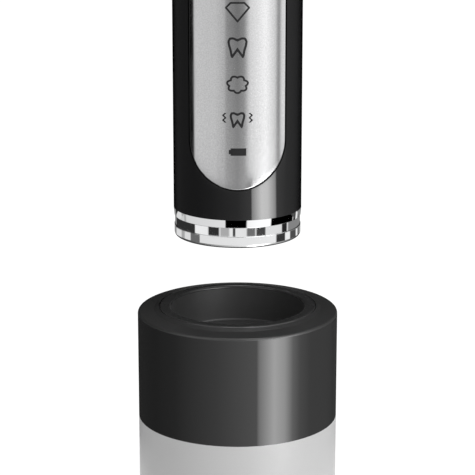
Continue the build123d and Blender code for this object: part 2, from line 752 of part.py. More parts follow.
# Handle: inner frame, a trough behind the board with end walls and a shelf over the battery
with BuildPart() as inner_frame:
    ring(frame_radius, frame_inside, frame_low, frame_high)
    ring(frame_radius, 0, frame_low, frame_low + FRAME_END_WALL)
    ring(frame_radius, 0, frame_shelf, frame_shelf + FRAME_END_WALL)
    ring(frame_radius, 0, frame_high - FRAME_END_WALL, frame_high)
    split(bisect_by=Plane.XZ.offset(board_back), keep=Keep.BOTTOM)
write(inner_frame, "inner_frame")

# Handle: battery cell and its contact tabs, which reach forward to the board
with BuildPart() as battery:
    with BuildSketch(Plane.XY.offset(battery_low)):
        with Locations((0, battery_y)):
            Circle(battery_radius)
    extrude(amount=BATTERY_LENGTH)
write(battery, "battery")

with BuildPart() as battery_tabs:
    tab_back = battery_y + TAB_WIDTH / 2
    tab_length = tab_back + board_back
    tab_middle = (0, tab_back - tab_length / 2)
    bar(TAB_WIDTH, tab_length, battery_low - TAB_THICKNESS, battery_low, tab_middle)
    bar(TAB_WIDTH, tab_length, battery_high, battery_high + TAB_THICKNESS, tab_middle)
write(battery_tabs, "battery_tabs")

# Handle: switch on the board, with a bore for its plunger
with BuildPart() as tact_switch:
    with BuildSketch(Plane.XZ.offset(board_front)):
        with Locations((0, button_z)):
            Rectangle(SWITCH_WIDTH, SWITCH_WIDTH)
    extrude(amount=SWITCH_DEPTH)
    bore_depth = PLUNGER_SUNK + BUTTON_TRAVEL + SLIDING_FIT
    with BuildSketch(Plane.XZ.offset(switch_front)):
        with Locations((0, button_z)):
            Circle(PLUNGER_RADIUS + SLIDING_FIT)
    extrude(amount=-bore_depth, mode=Mode.SUBTRACT)
write(tact_switch, "tact_switch")

with BuildPart() as switch_plunger:
    with BuildSketch(Plane.XZ.offset(switch_front - PLUNGER_SUNK)):
        with Locations((0, button_z)):
            Circle(PLUNGER_RADIUS)
    extrude(amount=PLUNGER_SUNK + PLUNGER_STAND)
write(switch_plunger, "switch_plunger")

# Power button: a round face that follows the handle, with a flange inside the housing and a stem
with BuildPart() as power_button:
    front_push(front_circle(button_flange_radius, button_z), button_flange_back)
    trim(button_flange_face)
    with BuildSketch(Plane.XZ.offset(button_back)):
        with Locations((0, button_z)):
            Circle(BUTTON_STEM_RADIUS)
    extrude(amount=button_flange_back - button_back)
    front_push(front_circle(BUTTON_RADIUS, button_z), button_flange_back)
    trim(handle_radius + BUTTON_PROUD)
    button_faces = power_button.faces().filter_by(GeomType.CYLINDER)
    outer_face = button_faces.filter_by(lambda face: face.radius > handle_radius)[0]
    fillet(outer_face.edges(), BUTTON_EDGE)
write(power_button, "power_button")

# Handle: rubber seal behind the button, a diaphragm with a rim against the housing's wall
with BuildPart() as button_seal:
    front_push(front_circle(BUTTON_SEAL_RADIUS, button_z), button_seal_back)
    diaphragm_radius = BUTTON_SEAL_RADIUS - BUTTON_SEAL_RIM
    front_push(front_circle(diaphragm_radius, button_z), button_seal_front, mode=Mode.SUBTRACT)
    front_push(front_circle(BUTTON_STEM_RADIUS + SLIDING_FIT, button_z), 0, mode=Mode.SUBTRACT)
    trim(housing_bore)
write(button_seal, "button_seal")

# Motor: steel can with an end plate and a bearing at each end
with BuildPart() as motor_can:
    ring(motor_radius, motor_bore, motor_low, motor_high)
write(motor_can, "motor_can")

with BuildPart() as motor_front_plate:
    ring(motor_bore, BEARING_RADIUS, motor_high - MOTOR_PLATE_THICKNESS, motor_high)
write(motor_front_plate, "motor_front_plate")

with BuildPart() as motor_rear_plate:
    ring(motor_bore, BEARING_RADIUS, motor_low, motor_low + MOTOR_PLATE_THICKNESS)
write(motor_rear_plate, "motor_rear_plate")

with BuildPart() as front_bearing:
    ring(BEARING_RADIUS, shaft_bore, motor_high - MOTOR_PLATE_THICKNESS, motor_high)
write(front_bearing, "front_bearing")

with BuildPart() as rear_bearing:
    ring(BEARING_RADIUS, shaft_bore, motor_low, motor_low + MOTOR_PLATE_THICKNESS)
write(rear_bearing, "rear_bearing")

# Motor: stator with four poles, each with its winding
with BuildPart() as stator_core:
    ring(motor_bore, stator_inner, magnet_low, magnet_high)
    with BuildSketch(Plane.XY.offset(magnet_low)):
        with PolarLocations((pole_radius + motor_bore - STATOR_BACK / 2) / 2, MAGNET_COUNT):
            Rectangle(motor_bore - STATOR_BACK / 2 - pole_radius, POLE_WIDTH)
    extrude(amount=MAGNET_LENGTH)
write(stator_core, "stator_core")

with BuildPart() as stator_coils:
    with BuildSketch(Plane.XY.offset(magnet_low - COIL_THICKNESS)):
        with PolarLocations((coil_near + coil_far) / 2, MAGNET_COUNT):
            Rectangle(coil_far - coil_near, 2 * coil_half)
    extrude(amount=MAGNET_LENGTH + 2 * COIL_THICKNESS)
    with BuildSketch(Plane.XY.offset(magnet_low)):
        with PolarLocations((coil_near + coil_far) / 2, MAGNET_COUNT):
            Rectangle(coil_far - coil_near, POLE_WIDTH)
    extrude(amount=MAGNET_LENGTH, mode=Mode.SUBTRACT)
write(stator_coils, "stator_coils")

# Motor: rubber rings that hold the can in the housing
with BuildPart() as lower_damper:
    ring(housing_bore, motor_radius, motor_low + DAMPER_INSET, motor_low + DAMPER_INSET + DAMPER_HEIGHT)
write(lower_damper, "lower_damper")

with BuildPart() as upper_damper:
    damper_high = taper_start - DAMPER_INSET
    ring(housing_bore, motor_radius, damper_high - DAMPER_HEIGHT, damper_high)
write(upper_damper, "upper_damper")

# Motor: leaf spring that centres the shaft, rooted in an anchor on the inner frame
with BuildPart() as spring_anchor:
    bar(ANCHOR_WIDTH, ANCHOR_DEPTH, frame_high, frame_high + ANCHOR_HEIGHT)
    bar(LEAF_WIDTH, LEAF_THICKNESS, leaf_low, frame_high + ANCHOR_HEIGHT, mode=Mode.SUBTRACT)
write(spring_anchor, "spring_anchor")

with BuildPart() as return_spring:
    bar(LEAF_WIDTH, LEAF_THICKNESS, leaf_low, slot_high - LEAF_TIP_GAP)
write(return_spring, "return_spring")

# Drive: shaft, slotted at the bottom for the leaf spring and flattened at the top for the brush head
with BuildPart() as drive_shaft:
    ring(SHAFT_RADIUS, 0, shaft_low, shaft_high)
    slot_width = LEAF_THICKNESS + 2 * LEAF_CLEARANCE
    bar(3 * SHAFT_RADIUS, slot_width, shaft_low, slot_high, mode=Mode.SUBTRACT)
    bar(
        2 * SHAFT_RADIUS,
        2 * SHAFT_FLAT_DEPTH,
        flat_low,
        shaft_high,
        (0, SHAFT_RADIUS),
        mode=Mode.SUBTRACT,
    )
write(drive_shaft, "drive_shaft")

with BuildPart() as rotor_yoke:
    ring(YOKE_RADIUS, SHAFT_RADIUS, magnet_low, magnet_high)
write(rotor_yoke, "rotor_yoke")

with BuildPart() as rotor_magnets:
    ring(MAGNET_RADIUS, YOKE_RADIUS, magnet_low, magnet_high)
    with BuildSketch(Plane.XY.offset(magnet_low)):
        with PolarLocations(0, MAGNET_COUNT // 2, start_angle=180 / MAGNET_COUNT, angular_range=180):
            Rectangle(3 * MAGNET_RADIUS, MAGNET_SPLIT)
    extrude(amount=MAGNET_LENGTH, mode=Mode.SUBTRACT)
write(rotor_magnets, "rotor_magnets")

# Handle: seal round the shaft and the chrome ring on the neck
with BuildPart() as shaft_seal:
    seal_bore = shaft_bore + SLIDING_FIT
    turn(
        [
            (seal_bore, top_inside - SHAFT_SEAL_RISE),
            (SHAFT_SEAL_RADIUS + SHAFT_SEAL_LAP, top_inside - SHAFT_SEAL_RISE),
            (SHAFT_SEAL_RADIUS + SHAFT_SEAL_LAP, top_inside),
            (SHAFT_SEAL_RADIUS, top_inside),
            (SHAFT_SEAL_RADIUS, housing_top),
            (seal_bore + SHAFT_SEAL_RISE, housing_top + SHAFT_SEAL_RISE),
            (seal_bore, housing_top + SHAFT_SEAL_RISE),
        ]
    )
write(shaft_seal, "shaft_seal")

with BuildPart() as neck_ring:
    ring(neck_radius, SHAFT_SEAL_RADIUS + FIT, housing_top, neck_ring_high)
    fillet(neck_ring.edges().group_by(Axis.Z)[-1].sort_by(SortBy.LENGTH)[-1], NECK_RING_EDGE)
write(neck_ring, "neck_ring")

# Brush head: hollow stem that narrows to a flat paddle
with BuildPart() as brush_stem:
    with BuildSketch(Plane.XZ.offset(PADDLE_FRONT)):
        with Locations((0, paddle_middle)):
            SlotOverall(PADDLE_LENGTH, PADDLE_WIDTH, rotation=90)
    extrude(amount=-PADDLE_FRONT - PADDLE_BACK)
    fillet(brush_stem.faces().sort_by(Axis.Y)[-1].edges(), PADDLE_EDGE)
    with BuildSketch(Plane.XZ):
        with BuildLine():
            skirt = Line((STEM_BASE_RADIUS, stem_low), (STEM_BASE_RADIUS, stem_low + STEM_BASE_HEIGHT))
            curve_reach = (STEM_WAIST_HEIGHT - STEM_BASE_HEIGHT) / 2
            waist = Bezier(
                skirt @ 1,
                (STEM_BASE_RADIUS, stem_low + STEM_BASE_HEIGHT + curve_reach),
                (STEM_NECK_RADIUS, stem_low + STEM_WAIST_HEIGHT - curve_reach),
                (STEM_NECK_RADIUS, stem_low + STEM_WAIST_HEIGHT),
            )
            Polyline(
                waist @ 1,
                (stem_tip_radius, paddle_low),
                (stem_tip_radius, stem_low + STEM_LENGTH),
                (0, stem_low + STEM_LENGTH),
                (0, stem_low),
                skirt @ 0,
            )
        make_face()
    revolve(axis=Axis.Z)
    ring(sleeve_radius, 0, stem_low, sleeve_high, mode=Mode.SUBTRACT)
    ring(
        STEM_BASE_RADIUS + FIT,
        STEM_BASE_RADIUS - STEM_RING_DEPTH,
        stem_low + STEM_RING_START,
        stem_low + STEM_RING_START + STEM_RING_HEIGHT,
        mode=Mode.SUBTRACT,
    )
    with BuildSketch(Plane.XZ.offset(PADDLE_FRONT)):
        with Locations((0, paddle_middle)):
            SlotOverall(pad_length, pad_width, rotation=90)
    extrude(amount=-PAD_THICKNESS, mode=Mode.SUBTRACT)
write(brush_stem, "brush_stem")

with BuildPart() as stem_ring:
    stem_ring_low = stem_low + STEM_RING_START
    stem_ring_inner = STEM_BASE_RADIUS - STEM_RING_DEPTH
    ring(STEM_BASE_RADIUS, stem_ring_inner, stem_ring_low, stem_ring_low + STEM_RING_HEIGHT)
write(stem_ring, "stem_ring")

# Brush head: sleeve that grips the shaft, with a flat to match the shaft's
with BuildPart() as shaft_sleeve:
    ring(sleeve_radius, 0, sleeve_low, sleeve_high)
    with BuildSketch(Plane.XY.offset(sleeve_low)):
        Circle(shaft_bore)
    extrude(amount=sleeve_high - sleeve_low, mode=Mode.SUBTRACT)
    key_low = flat_low + SLIDING_FIT
    with BuildSketch(Plane.XY.offset(key_low)):
        Circle(shaft_bore)
        with Locations((0, -SHAFT_FLAT_DEPTH + RUNNING_FIT)):
            Rectangle(3 * SHAFT_RADIUS, 2 * SHAFT_RADIUS, mode=Mode.SUBTRACT)
        split(bisect_by=Plane.XZ, keep=Keep.BOTTOM)
    extrude(amount=sleeve_high - key_low)
write(shaft_sleeve, "shaft_sleeve")

# Brush head: bristles, tufts of square strands on a pad sunk in the paddle
with BuildPart() as bristles:
    with BuildSketch(Plane.XZ.offset(PADDLE_FRONT)):
        with Locations((0, paddle_middle)):
            SlotOverall(pad_length, pad_width, rotation=90)
    extrude(amount=-PAD_THICKNESS)
    end_radius = pad_width / 2 - TUFT_MARGIN
    end_start = (pad_length - pad_width) / 2
    tuft_half = (STRANDS_PER_SIDE - 1) / 2 * STRAND_PITCH + STRAND_WIDTH / 2
    strands = []
    for row in range(TUFT_ROWS):
        row_place = row - (TUFT_ROWS - 1) / 2
        row_height = row_place * TUFT_PITCH_Z
        beyond = max(abs(row_height) + tuft_half - end_start, 0)
        row_reach = sqrt(max(end_radius**2 - beyond**2, 0)) - tuft_half
        columns = [column - (TUFT_COLUMNS - 1) / 2 for column in range(TUFT_COLUMNS)]
        tufts = [column * TUFT_PITCH_X for column in columns if abs(column) * TUFT_PITCH_X <= row_reach]
        if not tufts:
            continue
        with BuildSketch(Plane.XZ.offset(PADDLE_FRONT - PAD_THICKNESS / 2)) as row_plan:
            with Locations(*[(tuft, paddle_middle + row_height) for tuft in tufts]):
                with GridLocations(STRAND_PITCH, STRAND_PITCH, STRANDS_PER_SIDE, STRANDS_PER_SIDE):
                    Rectangle(STRAND_WIDTH, STRAND_WIDTH)
        row_length = STRAND_LENGTH + PAD_THICKNESS / 2 + TRIM_WAVE * cos(radians(120 * row_place))
        strands.extend(extrude(row_plan.sketch, amount=row_length, mode=Mode.PRIVATE).solids())
    add(strands)
write(bristles, "bristles")
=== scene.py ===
import json
import math
import random
from collections import namedtuple

import bpy
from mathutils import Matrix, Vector


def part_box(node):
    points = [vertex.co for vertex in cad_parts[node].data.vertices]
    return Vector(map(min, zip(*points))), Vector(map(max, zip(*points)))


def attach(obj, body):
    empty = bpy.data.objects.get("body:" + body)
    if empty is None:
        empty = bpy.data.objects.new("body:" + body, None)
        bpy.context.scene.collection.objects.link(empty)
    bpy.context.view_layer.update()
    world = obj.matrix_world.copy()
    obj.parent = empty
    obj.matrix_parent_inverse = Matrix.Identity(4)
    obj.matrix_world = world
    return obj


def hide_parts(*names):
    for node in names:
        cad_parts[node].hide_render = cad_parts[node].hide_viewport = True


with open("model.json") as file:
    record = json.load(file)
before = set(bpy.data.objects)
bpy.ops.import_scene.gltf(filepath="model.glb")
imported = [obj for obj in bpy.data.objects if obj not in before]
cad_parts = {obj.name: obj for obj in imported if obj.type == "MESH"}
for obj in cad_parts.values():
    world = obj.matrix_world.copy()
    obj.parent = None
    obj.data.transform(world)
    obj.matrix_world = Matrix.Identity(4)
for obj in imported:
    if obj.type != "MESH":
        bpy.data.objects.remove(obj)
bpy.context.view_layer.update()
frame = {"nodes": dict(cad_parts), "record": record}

# Lengths below are in millimetres unless a name says otherwise, and Blender works in metres.
MM = 0.001

# Points this close are merged, and what lies this close to a level belongs to it
DOUBLES = 0.002
NEAR = 0.01

# Sizes and places read from the frame
panel_low, panel_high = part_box("steel_panel")
ring_low, ring_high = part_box("base_ring")
collar_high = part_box("collar")[1]
cup_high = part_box("charging_cup")[1]
button_low, button_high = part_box("power_button")
bristles_low, bristles_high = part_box("bristles")
handle_bottom = ring_low.z
handle_radius = ring_high.x
charger_radius = collar_high.x
panel_half_width = panel_high.x
button_height = (button_low.z + button_high.z) / 2
pad_middle = (bristles_low.z + bristles_high.z) / 2
pad_back = bristles_high.y

# Brush: a sunk pad with rows of tufts, each a bundle of fine strands
PAD_LENGTH = 23.0
PAD_WIDTH = 9.6
PAD_THICKNESS = 0.8
PAD_ROUNDING = 0.15
PAD_ROUNDING_STEPS = 3
PAD_SIDES = 64
TUFT_COLUMNS = 5
TUFT_ROWS = 11
TUFT_PITCH_X = 1.9
TUFT_PITCH_Z = 2.05
TUFT_HALF = 0.61
TUFT_MARGIN = 0.1
TUFT_RINGS = 3
TUFT_LEAN_DEGREES = 0.7
TUFT_TURN_DEGREES = 60
TUFT_SEED = 11
STRAND_RADIUS = 0.1
STRAND_PITCH = 0.215
STRAND_LENGTH = 9.6
STRAND_TIP = 0.09
STRAND_TIP_SHARE = 0.5
STRAND_SPLAY_DEGREES = 1.6
STRAND_SIDES = 6
TRIM_WAVE = 0.9
TRIM_STEP_DEGREES = 120
SMOOTH_DEGREES = 40

# Marks printed on the panel, at heights above the handle's bottom, and on the button
BATTERY_MARK_HEIGHT = 21.1
GENTLE_MARK_HEIGHT = 27.9
GUM_MARK_HEIGHT = 35.5
CLEAN_MARK_HEIGHT = 43.2
POLISH_MARK_HEIGHT = 50.7
MARK_THICKNESS = 0.03
MARK_START_GAP = 4.0
CORNER_STEPS = 4
STROKE_CUTS = 2
TOOTH_CROWN_HALF = (
    (0.00, 1.82),
    (0.85, 2.22),
    (1.72, 2.15),
    (2.12, 1.35),
    (1.98, 0.45),
    (1.66, -0.60),
)
TOOTH_ROOT_TIP = (
    (1.42, -1.90),
    (1.08, -2.25),
    (0.72, -1.75),
)
TOOTH_ROOT_SIDES_MEET = (1.30, -2.57)
TOOTH_FORK = (0.00, -0.72)
TOOTH_ROUNDING = 0.28
TOOTH_STROKE = 0.47
GENTLE_TOOTH_SCALE = 0.79
DIAMOND_CORNERS = ((-1.5, 2.05), (1.5, 2.05), (2.68, 0.85), (0.0, -2.3), (-2.68, 0.85))
DIAMOND_ROUNDING = 0.2
DIAMOND_STROKE = 0.40
CLOUD_HALF_WIDTH = 2.02
CLOUD_HALF_HEIGHT = 1.68
CLOUD_LOBES = 7
CLOUD_LOBE_RISE = 0.2
CLOUD_POINTS = 84
CLOUD_STROKE = 0.42
BATTERY_WIDTH = 3.68
BATTERY_TALL = 1.58
BATTERY_NUB = 0.38
BATTERY_NUB_SHARE = 0.58
BATTERY_COLUMNS = 12
BATTERY_ROWS = 4
SQUIGGLE_PLACE = 2.78
SQUIGGLE_SWING = 0.22
SQUIGGLE_RISE = 0.5
SQUIGGLE_TALL = 2.05
SQUIGGLE_WAVES = 2
SQUIGGLE_STEPS = 32
SQUIGGLE_STROKE = 0.44
POWER_RADIUS = 2.0
POWER_STROKE = 0.36
POWER_GAP_DEGREES = 36
POWER_STEPS = 40
POWER_BAR_LOW = 0.5
POWER_BAR_HIGH = 2.6
POWER_BAR_ROUNDING = 0.162

# Finishes: how noise spreads over colour and roughness, and the blacks of the collar and the cup. The
# collar's greyer top colour is painted light.
COLOUR_NOISE = (0.35, 0.65)
ROUGHNESS_NOISE = (0.3, 0.7)
ROUGHNESS_SWING = 0.15
BROAD_NOISE_RATIO = 30
CHANGE_WIDTH = 0.1
GLOSSY_IOR = 1.7
GLOSS_ROUGHNESS = 0.05
GLOSS_SHADE = 0.0075
GLOSS_COLOUR = (GLOSS_SHADE, GLOSS_SHADE, 0.008)
COLLAR_TOP_DEPTH = 1.45
COLLAR_TOP_ROUGHNESS = 0.38
# Painted light: a greyer colour for the collar's top, standing in for the light the top catches
COLLAR_TOP_PAINTED_LIGHT = 0.030
CUP_ROUGHNESS = 0.5
CUP_COLOUR = (0.041, 0.041, 0.041)
LIP_DEPTH = 0.6
LIP_ROUGHNESS = 0.16

# Studio. Angles are in degrees, and an azimuth of 0 is in front.
CAMERA_DISTANCE = 420.0
CAMERA_ELEVATION = 14.5
CAMERA_TARGET_DROP = 1.1
CAMERA_LENS = 144.28
CAMERA_NEAR = 10.0
SENSOR_WIDTH = 36.0
FLOOR_SIZE = 4000.0
FLOOR_GLOW = 0.92
FLOOR_SHADED = 0.2
FLOOR_ALBEDO = 0.80
WORLD_FILL = 0.52
KEY_SOFTBOX = {"azimuth": 50, "elevation": 30, "distance": 900, "size": 500, "power": 3.4}
TOP_SOFTBOX = {"azimuth": 0, "elevation": 88, "distance": 700, "size": 400, "power": 0.8}

# Light tents: round walls that show only in reflections, one round the charger and a tall one round it all.
# A wall's brightness is given in stops across the round surface that mirrors it, seen from the front, with
# its left edge at -1 and its right edge at 1. It can also have a soft strip behind, given from the middle
# outwards across the same surface, seen from the back. The facing share is how far the handle's surface is
# turned where it mirrors a place on the tall tent, against the angle of that place round the tent.
TENT_RADIUS = 80.0
TENT_HEIGHT = 420.0
TENT_SIDES = 128
CHARGER_TENT_RADIUS = 50.0
CHARGER_TENT_HEIGHT = 48.5
TENT_FACING_SHARE = 0.536
CARD_EDGE = 0.01
BACK_STRIP_MIDDLE = 0.12
BACK_STRIP_EDGE = 0.26


# Tools for modelling

def deselect_all():
    if bpy.context.object and bpy.context.object.mode != "OBJECT":
        bpy.ops.object.mode_set(mode="OBJECT")
    bpy.ops.object.select_all(action="DESELECT")


def make_active(piece):
    deselect_all()
    piece.select_set(True)
    bpy.context.view_layer.objects.active = piece


def edit(piece):
    make_active(piece)
    bpy.ops.object.mode_set(mode="EDIT")
    bpy.ops.mesh.select_all(action="DESELECT")


def leave_edit():
    bpy.ops.object.mode_set(mode="OBJECT")


def pick(piece, kind, test):
    """In edit mode, selects the vertices, edges or polygons whose middle passes the test."""
    bpy.ops.mesh.select_mode(type={"vertices": "VERT", "edges": "EDGE", "polygons": "FACE"}[kind])
    bpy.ops.mesh.select_all(action="DESELECT")
    leave_edit()
    mesh = piece.data
    for item in getattr(mesh, kind):
        if kind == "vertices":
            middle = item.co
        else:
            corners = [mesh.vertices[index].co for index in item.vertices]
            middle = sum(corners, Vector()) / len(corners)
        item.select = test(middle)
    bpy.ops.object.mode_set(mode="EDIT")


def apply_modifier(piece, kind, **settings):
    make_active(piece)
    modifier = piece.modifiers.new(kind.title(), kind)
    for name, value in settings.items():
        setattr(modifier, name, value)
    bpy.ops.object.modifier_apply(modifier=modifier.name)


def settle(piece):
    """Puts a piece's place into its mesh, merges doubles and turns its faces outwards."""
    make_active(piece)
    bpy.ops.object.transform_apply(location=True, rotation=True, scale=True)
    bpy.ops.object.mode_set(mode="EDIT")
    bpy.ops.mesh.select_all(action="SELECT")
    bpy.ops.mesh.remove_doubles(threshold=DOUBLES * MM)
    bpy.ops.mesh.normals_make_consistent(inside=False)
    leave_edit()


def copy_of(piece):
    twin = piece.copy()
    twin.data = piece.data.copy()
    bpy.context.collection.objects.link(twin)
    return twin


def join(pieces, name):
    make_active(pieces[0])
    for piece in pieces:
        piece.select_set(True)
    bpy.ops.object.join()
    pieces[0].name = name
    pieces[0].data.name = name
    return pieces[0]


# Finishes

def new_finish(name):
    finish = bpy.data.materials.new(name)
    finish.use_nodes = True
    return finish


def shader_of(finish):
    return finish.node_tree.nodes["Principled BSDF"]


def pattern(finish, scale, detail=2.0, stretch=(1, 1, 1)):
    """Noise on Object coordinates. The scale is in features per metre."""
    nodes = finish.node_tree.nodes
    links = finish.node_tree.links
    place = nodes.new("ShaderNodeTexCoord")
    mapping = nodes.new("ShaderNodeMapping")
    mapping.inputs["Scale"].default_value = stretch
    noise = nodes.new("ShaderNodeTexNoise")
    noise.inputs["Scale"].default_value = scale
    noise.inputs["Detail"].default_value = detail
    links.new(place.outputs["Object"], mapping.inputs["Vector"])
    links.new(mapping.outputs["Vector"], noise.inputs["Vector"])
    return noise.outputs["Fac"]


def vary_colour(finish, noise, dark, light):
    ramp = finish.node_tree.nodes.new("ShaderNodeValToRGB")
    for element, position, colour in zip(ramp.color_ramp.elements, COLOUR_NOISE, (dark, light)):
        element.position = position
        element.color = (*colour, 1)
    finish.node_tree.links.new(noise, ramp.inputs["Fac"])
    finish.node_tree.links.new(ramp.outputs["Color"], shader_of(finish).inputs["Base Color"])


def vary_roughness(finish, noise, smooth, rough):
    spread = finish.node_tree.nodes.new("ShaderNodeMapRange")
    spread.inputs["From Min"].default_value = ROUGHNESS_NOISE[0]
    spread.inputs["From Max"].default_value = ROUGHNESS_NOISE[1]
    spread.inputs["To Min"].default_value = smooth
    spread.inputs["To Max"].default_value = rough
    finish.node_tree.links.new(noise, spread.inputs["Value"])
    finish.node_tree.links.new(spread.outputs["Result"], shader_of(finish).inputs["Roughness"])


def raise_grain(finish, noise, depth, strength):
    bump = finish.node_tree.nodes.new("ShaderNodeBump")
    bump.inputs["Strength"].default_value = strength
    bump.inputs["Distance"].default_value = depth * MM
    finish.node_tree.links.new(noise, bump.inputs["Height"])
    finish.node_tree.links.new(bump.outputs["Normal"], shader_of(finish).inputs["Normal"])


def tint(colour, factor):
    return tuple(channel * factor for channel in colour)


def surface(name, colour, roughness, metallic=0.0, mottle=0.06, grain=2500.0, depth=0.01, strength=0.3,
            stretch=(1, 1, 1)):
    """A finish whose colour, roughness and fine relief all wander a little over the surface."""
    finish = new_finish(name)
    shader = shader_of(finish)
    shader.inputs["Metallic"].default_value = metallic
    fine = pattern(finish, grain, stretch=stretch)
    broad = pattern(finish, grain / BROAD_NOISE_RATIO)
    vary_colour(finish, fine, tint(colour, 1 - mottle), tint(colour, 1 + mottle))
    swing = roughness * ROUGHNESS_SWING
    vary_roughness(finish, broad, roughness - swing, roughness + swing)
    raise_grain(finish, fine, depth, strength)
    return finish


def gloss_black_plastic(name):
    finish = surface(name, GLOSS_COLOUR, GLOSS_ROUGHNESS, mottle=0.05, grain=900.0, depth=0.001,
                     strength=0.02)
    shader_of(finish).inputs["IOR"].default_value = GLOSSY_IOR
    return finish


def change_over(finish, socket, height, below, above):
    """Gives the shader one value up to a height and another over it, in place of what fed the socket."""
    tree = finish.node_tree
    target = shader_of(finish).inputs[socket]
    tree.nodes.remove(target.links[0].from_node)
    place = tree.nodes.new("ShaderNodeTexCoord")
    axes = tree.nodes.new("ShaderNodeSeparateXYZ")
    spread = tree.nodes.new("ShaderNodeMapRange")
    spread.inputs["From Min"].default_value = height - CHANGE_WIDTH / 2 * MM
    spread.inputs["From Max"].default_value = height + CHANGE_WIDTH / 2 * MM
    spread.inputs["To Min"].default_value = below
    spread.inputs["To Max"].default_value = above
    tree.links.new(place.outputs["Object"], axes.inputs["Vector"])
    tree.links.new(axes.outputs["Z"], spread.inputs["Value"])
    tree.links.new(spread.outputs["Result"], target)


def collar_black():
    """Glossy on the sides and satin on top. The top's greyer colour is painted light, standing in for the
    light the top catches.
    """
    finish = gloss_black_plastic("collar_black")
    top = collar_high.z - COLLAR_TOP_DEPTH * MM
    change_over(finish, "Roughness", top, GLOSS_ROUGHNESS, COLLAR_TOP_ROUGHNESS)
    # Painted light: the top gets a greyer colour, so that it reads lighter, as where it catches light
    change_over(finish, "Base Color", top, GLOSS_SHADE, COLLAR_TOP_PAINTED_LIGHT)
    return finish


def cup_black():
    """Satin inside, with a smoother lip."""
    finish = surface("cup_black", CUP_COLOUR, CUP_ROUGHNESS, mottle=0.05, grain=3500.0, depth=0.004,
                     strength=0.15)
    shader_of(finish).inputs["IOR"].default_value = GLOSSY_IOR
    change_over(finish, "Roughness", cup_high.z - LIP_DEPTH * MM, CUP_ROUGHNESS, LIP_ROUGHNESS)
    return finish


def satin_grey_plastic():
    return surface("satin_grey_plastic", (0.66, 0.66, 0.66), 0.45, mottle=0.012, grain=5200.0, depth=0.006,
                   strength=0.12)


def blasted_steel():
    return surface("blasted_steel", (0.62, 0.62, 0.625), 0.12, metallic=1.0, mottle=0.07, grain=4200.0,
                   depth=0.010, strength=0.08)


def polished_chrome():
    return surface("polished_chrome", (0.90, 0.905, 0.91), 0.03, metallic=1.0, mottle=0.01, grain=300.0,
                   depth=0.0005, strength=0.02)


def nylon_strands():
    return surface("nylon_strands", (0.80, 0.81, 0.82), 0.35, mottle=0.05, grain=1600.0, depth=0.004,
                   strength=0.1)


def dark_print():
    finish = surface("dark_print", (0.022, 0.022, 0.023), 0.5, mottle=0.12, grain=6000.0, depth=0.004,
                     strength=0.2)
    shader_of(finish).inputs["Specular IOR Level"].default_value = 0.25
    return finish


def pale_print():
    return surface("pale_print", (0.62, 0.63, 0.64), 0.45, mottle=0.06, grain=6000.0, depth=0.004,
                   strength=0.2)


finishes = {
    "gloss_black": gloss_black_plastic("gloss_black_plastic"),
    "light_grey": satin_grey_plastic(),
    "blasted_steel": blasted_steel(),
    "chrome_trim": polished_chrome(),
    "bristle": nylon_strands(),
    "black_rubber": surface("matte_rubber", (0.022, 0.022, 0.023), 0.75, mottle=0.15, depth=0.02),
    "black_plastic": surface("moulded_black", (0.030, 0.030, 0.032), 0.5, mottle=0.1),
    "frame_plastic": surface("natural_white_plastic", (0.72, 0.72, 0.69), 0.5, mottle=0.02),
    "circuit_board": surface("green_board", (0.02, 0.16, 0.07), 0.3, mottle=0.2, grain=1500.0),
    "copper": surface("enamelled_copper", (0.62, 0.27, 0.12), 0.28, metallic=1.0, mottle=0.1, grain=6000.0,
                      stretch=(1, 1, 4), strength=0.5),
    "bronze": surface("sintered_bronze", (0.52, 0.34, 0.15), 0.4, metallic=1.0, mottle=0.15),
    "ferrite": surface("dark_ferrite", (0.06, 0.06, 0.063), 0.6, mottle=0.2, depth=0.02),
    "plain_steel": surface("machined_steel", (0.55, 0.55, 0.56), 0.28, metallic=1.0, grain=5000.0,
                           stretch=(1, 1, 0.1)),
    "nickel": surface("nickel_plate", (0.66, 0.64, 0.60), 0.18, metallic=1.0, mottle=0.04),
    "battery_wrap": surface("blue_battery_wrap", (0.05, 0.14, 0.36), 0.3, mottle=0.05),
    "light_guide": surface("clear_guide", (0.82, 0.85, 0.86), 0.2, mottle=0.02),
    "lamp": surface("lamp_resin", (0.86, 0.80, 0.55), 0.3, mottle=0.05),
}
cup_finish = cup_black()
collar_finish = collar_black()
mark_finish = dark_print()
button_mark_finish = pale_print()


def dress(piece, finish):
    piece.data.materials.clear()
    piece.data.materials.append(finish)


for subpart in frame["record"]["subparts"]:
    node = frame["nodes"][subpart["node"]]
    for slot in node.material_slots:
        slot.material = finishes[subpart["material_slot"]]
for node, finish in (("charging_cup", cup_finish), ("collar", collar_finish)):
    for slot in frame["nodes"][node].material_slots:
        slot.material = finish


# Brush: one strand, one tuft of strands, then rows of tufts on the pad

def strand():
    """A round strand along -Y with a rounded tip. Its root is at the origin."""
    deselect_all()
    bpy.ops.mesh.primitive_cylinder_add(
        vertices=STRAND_SIDES,
        radius=STRAND_RADIUS * MM,
        depth=STRAND_LENGTH * MM,
        location=(0, -STRAND_LENGTH / 2 * MM, 0),
        rotation=(math.radians(90), 0, 0),
    )
    piece = bpy.context.object
    bpy.ops.object.transform_apply(location=True, rotation=True, scale=True)
    edit(piece)
    tip = -STRAND_LENGTH * MM
    pick(piece, "polygons", lambda middle: middle.y < tip + NEAR * MM)
    bpy.ops.mesh.extrude_region_move(TRANSFORM_OT_translate={"value": (0, -STRAND_TIP * MM, 0)})
    bpy.ops.transform.resize(value=(STRAND_TIP_SHARE, 1, STRAND_TIP_SHARE))
    leave_edit()
    return piece


def ring_places(rings, pitch):
    """Places of a hexagonal bundle: a middle one and full rings round it."""
    places = [(0.0, 0.0)]
    for ring in range(1, rings + 1):
        for step in range(6 * ring):
            angle = 2 * math.pi * step / (6 * ring)
            places.append((ring * pitch * math.cos(angle), ring * pitch * math.sin(angle)))
    return places


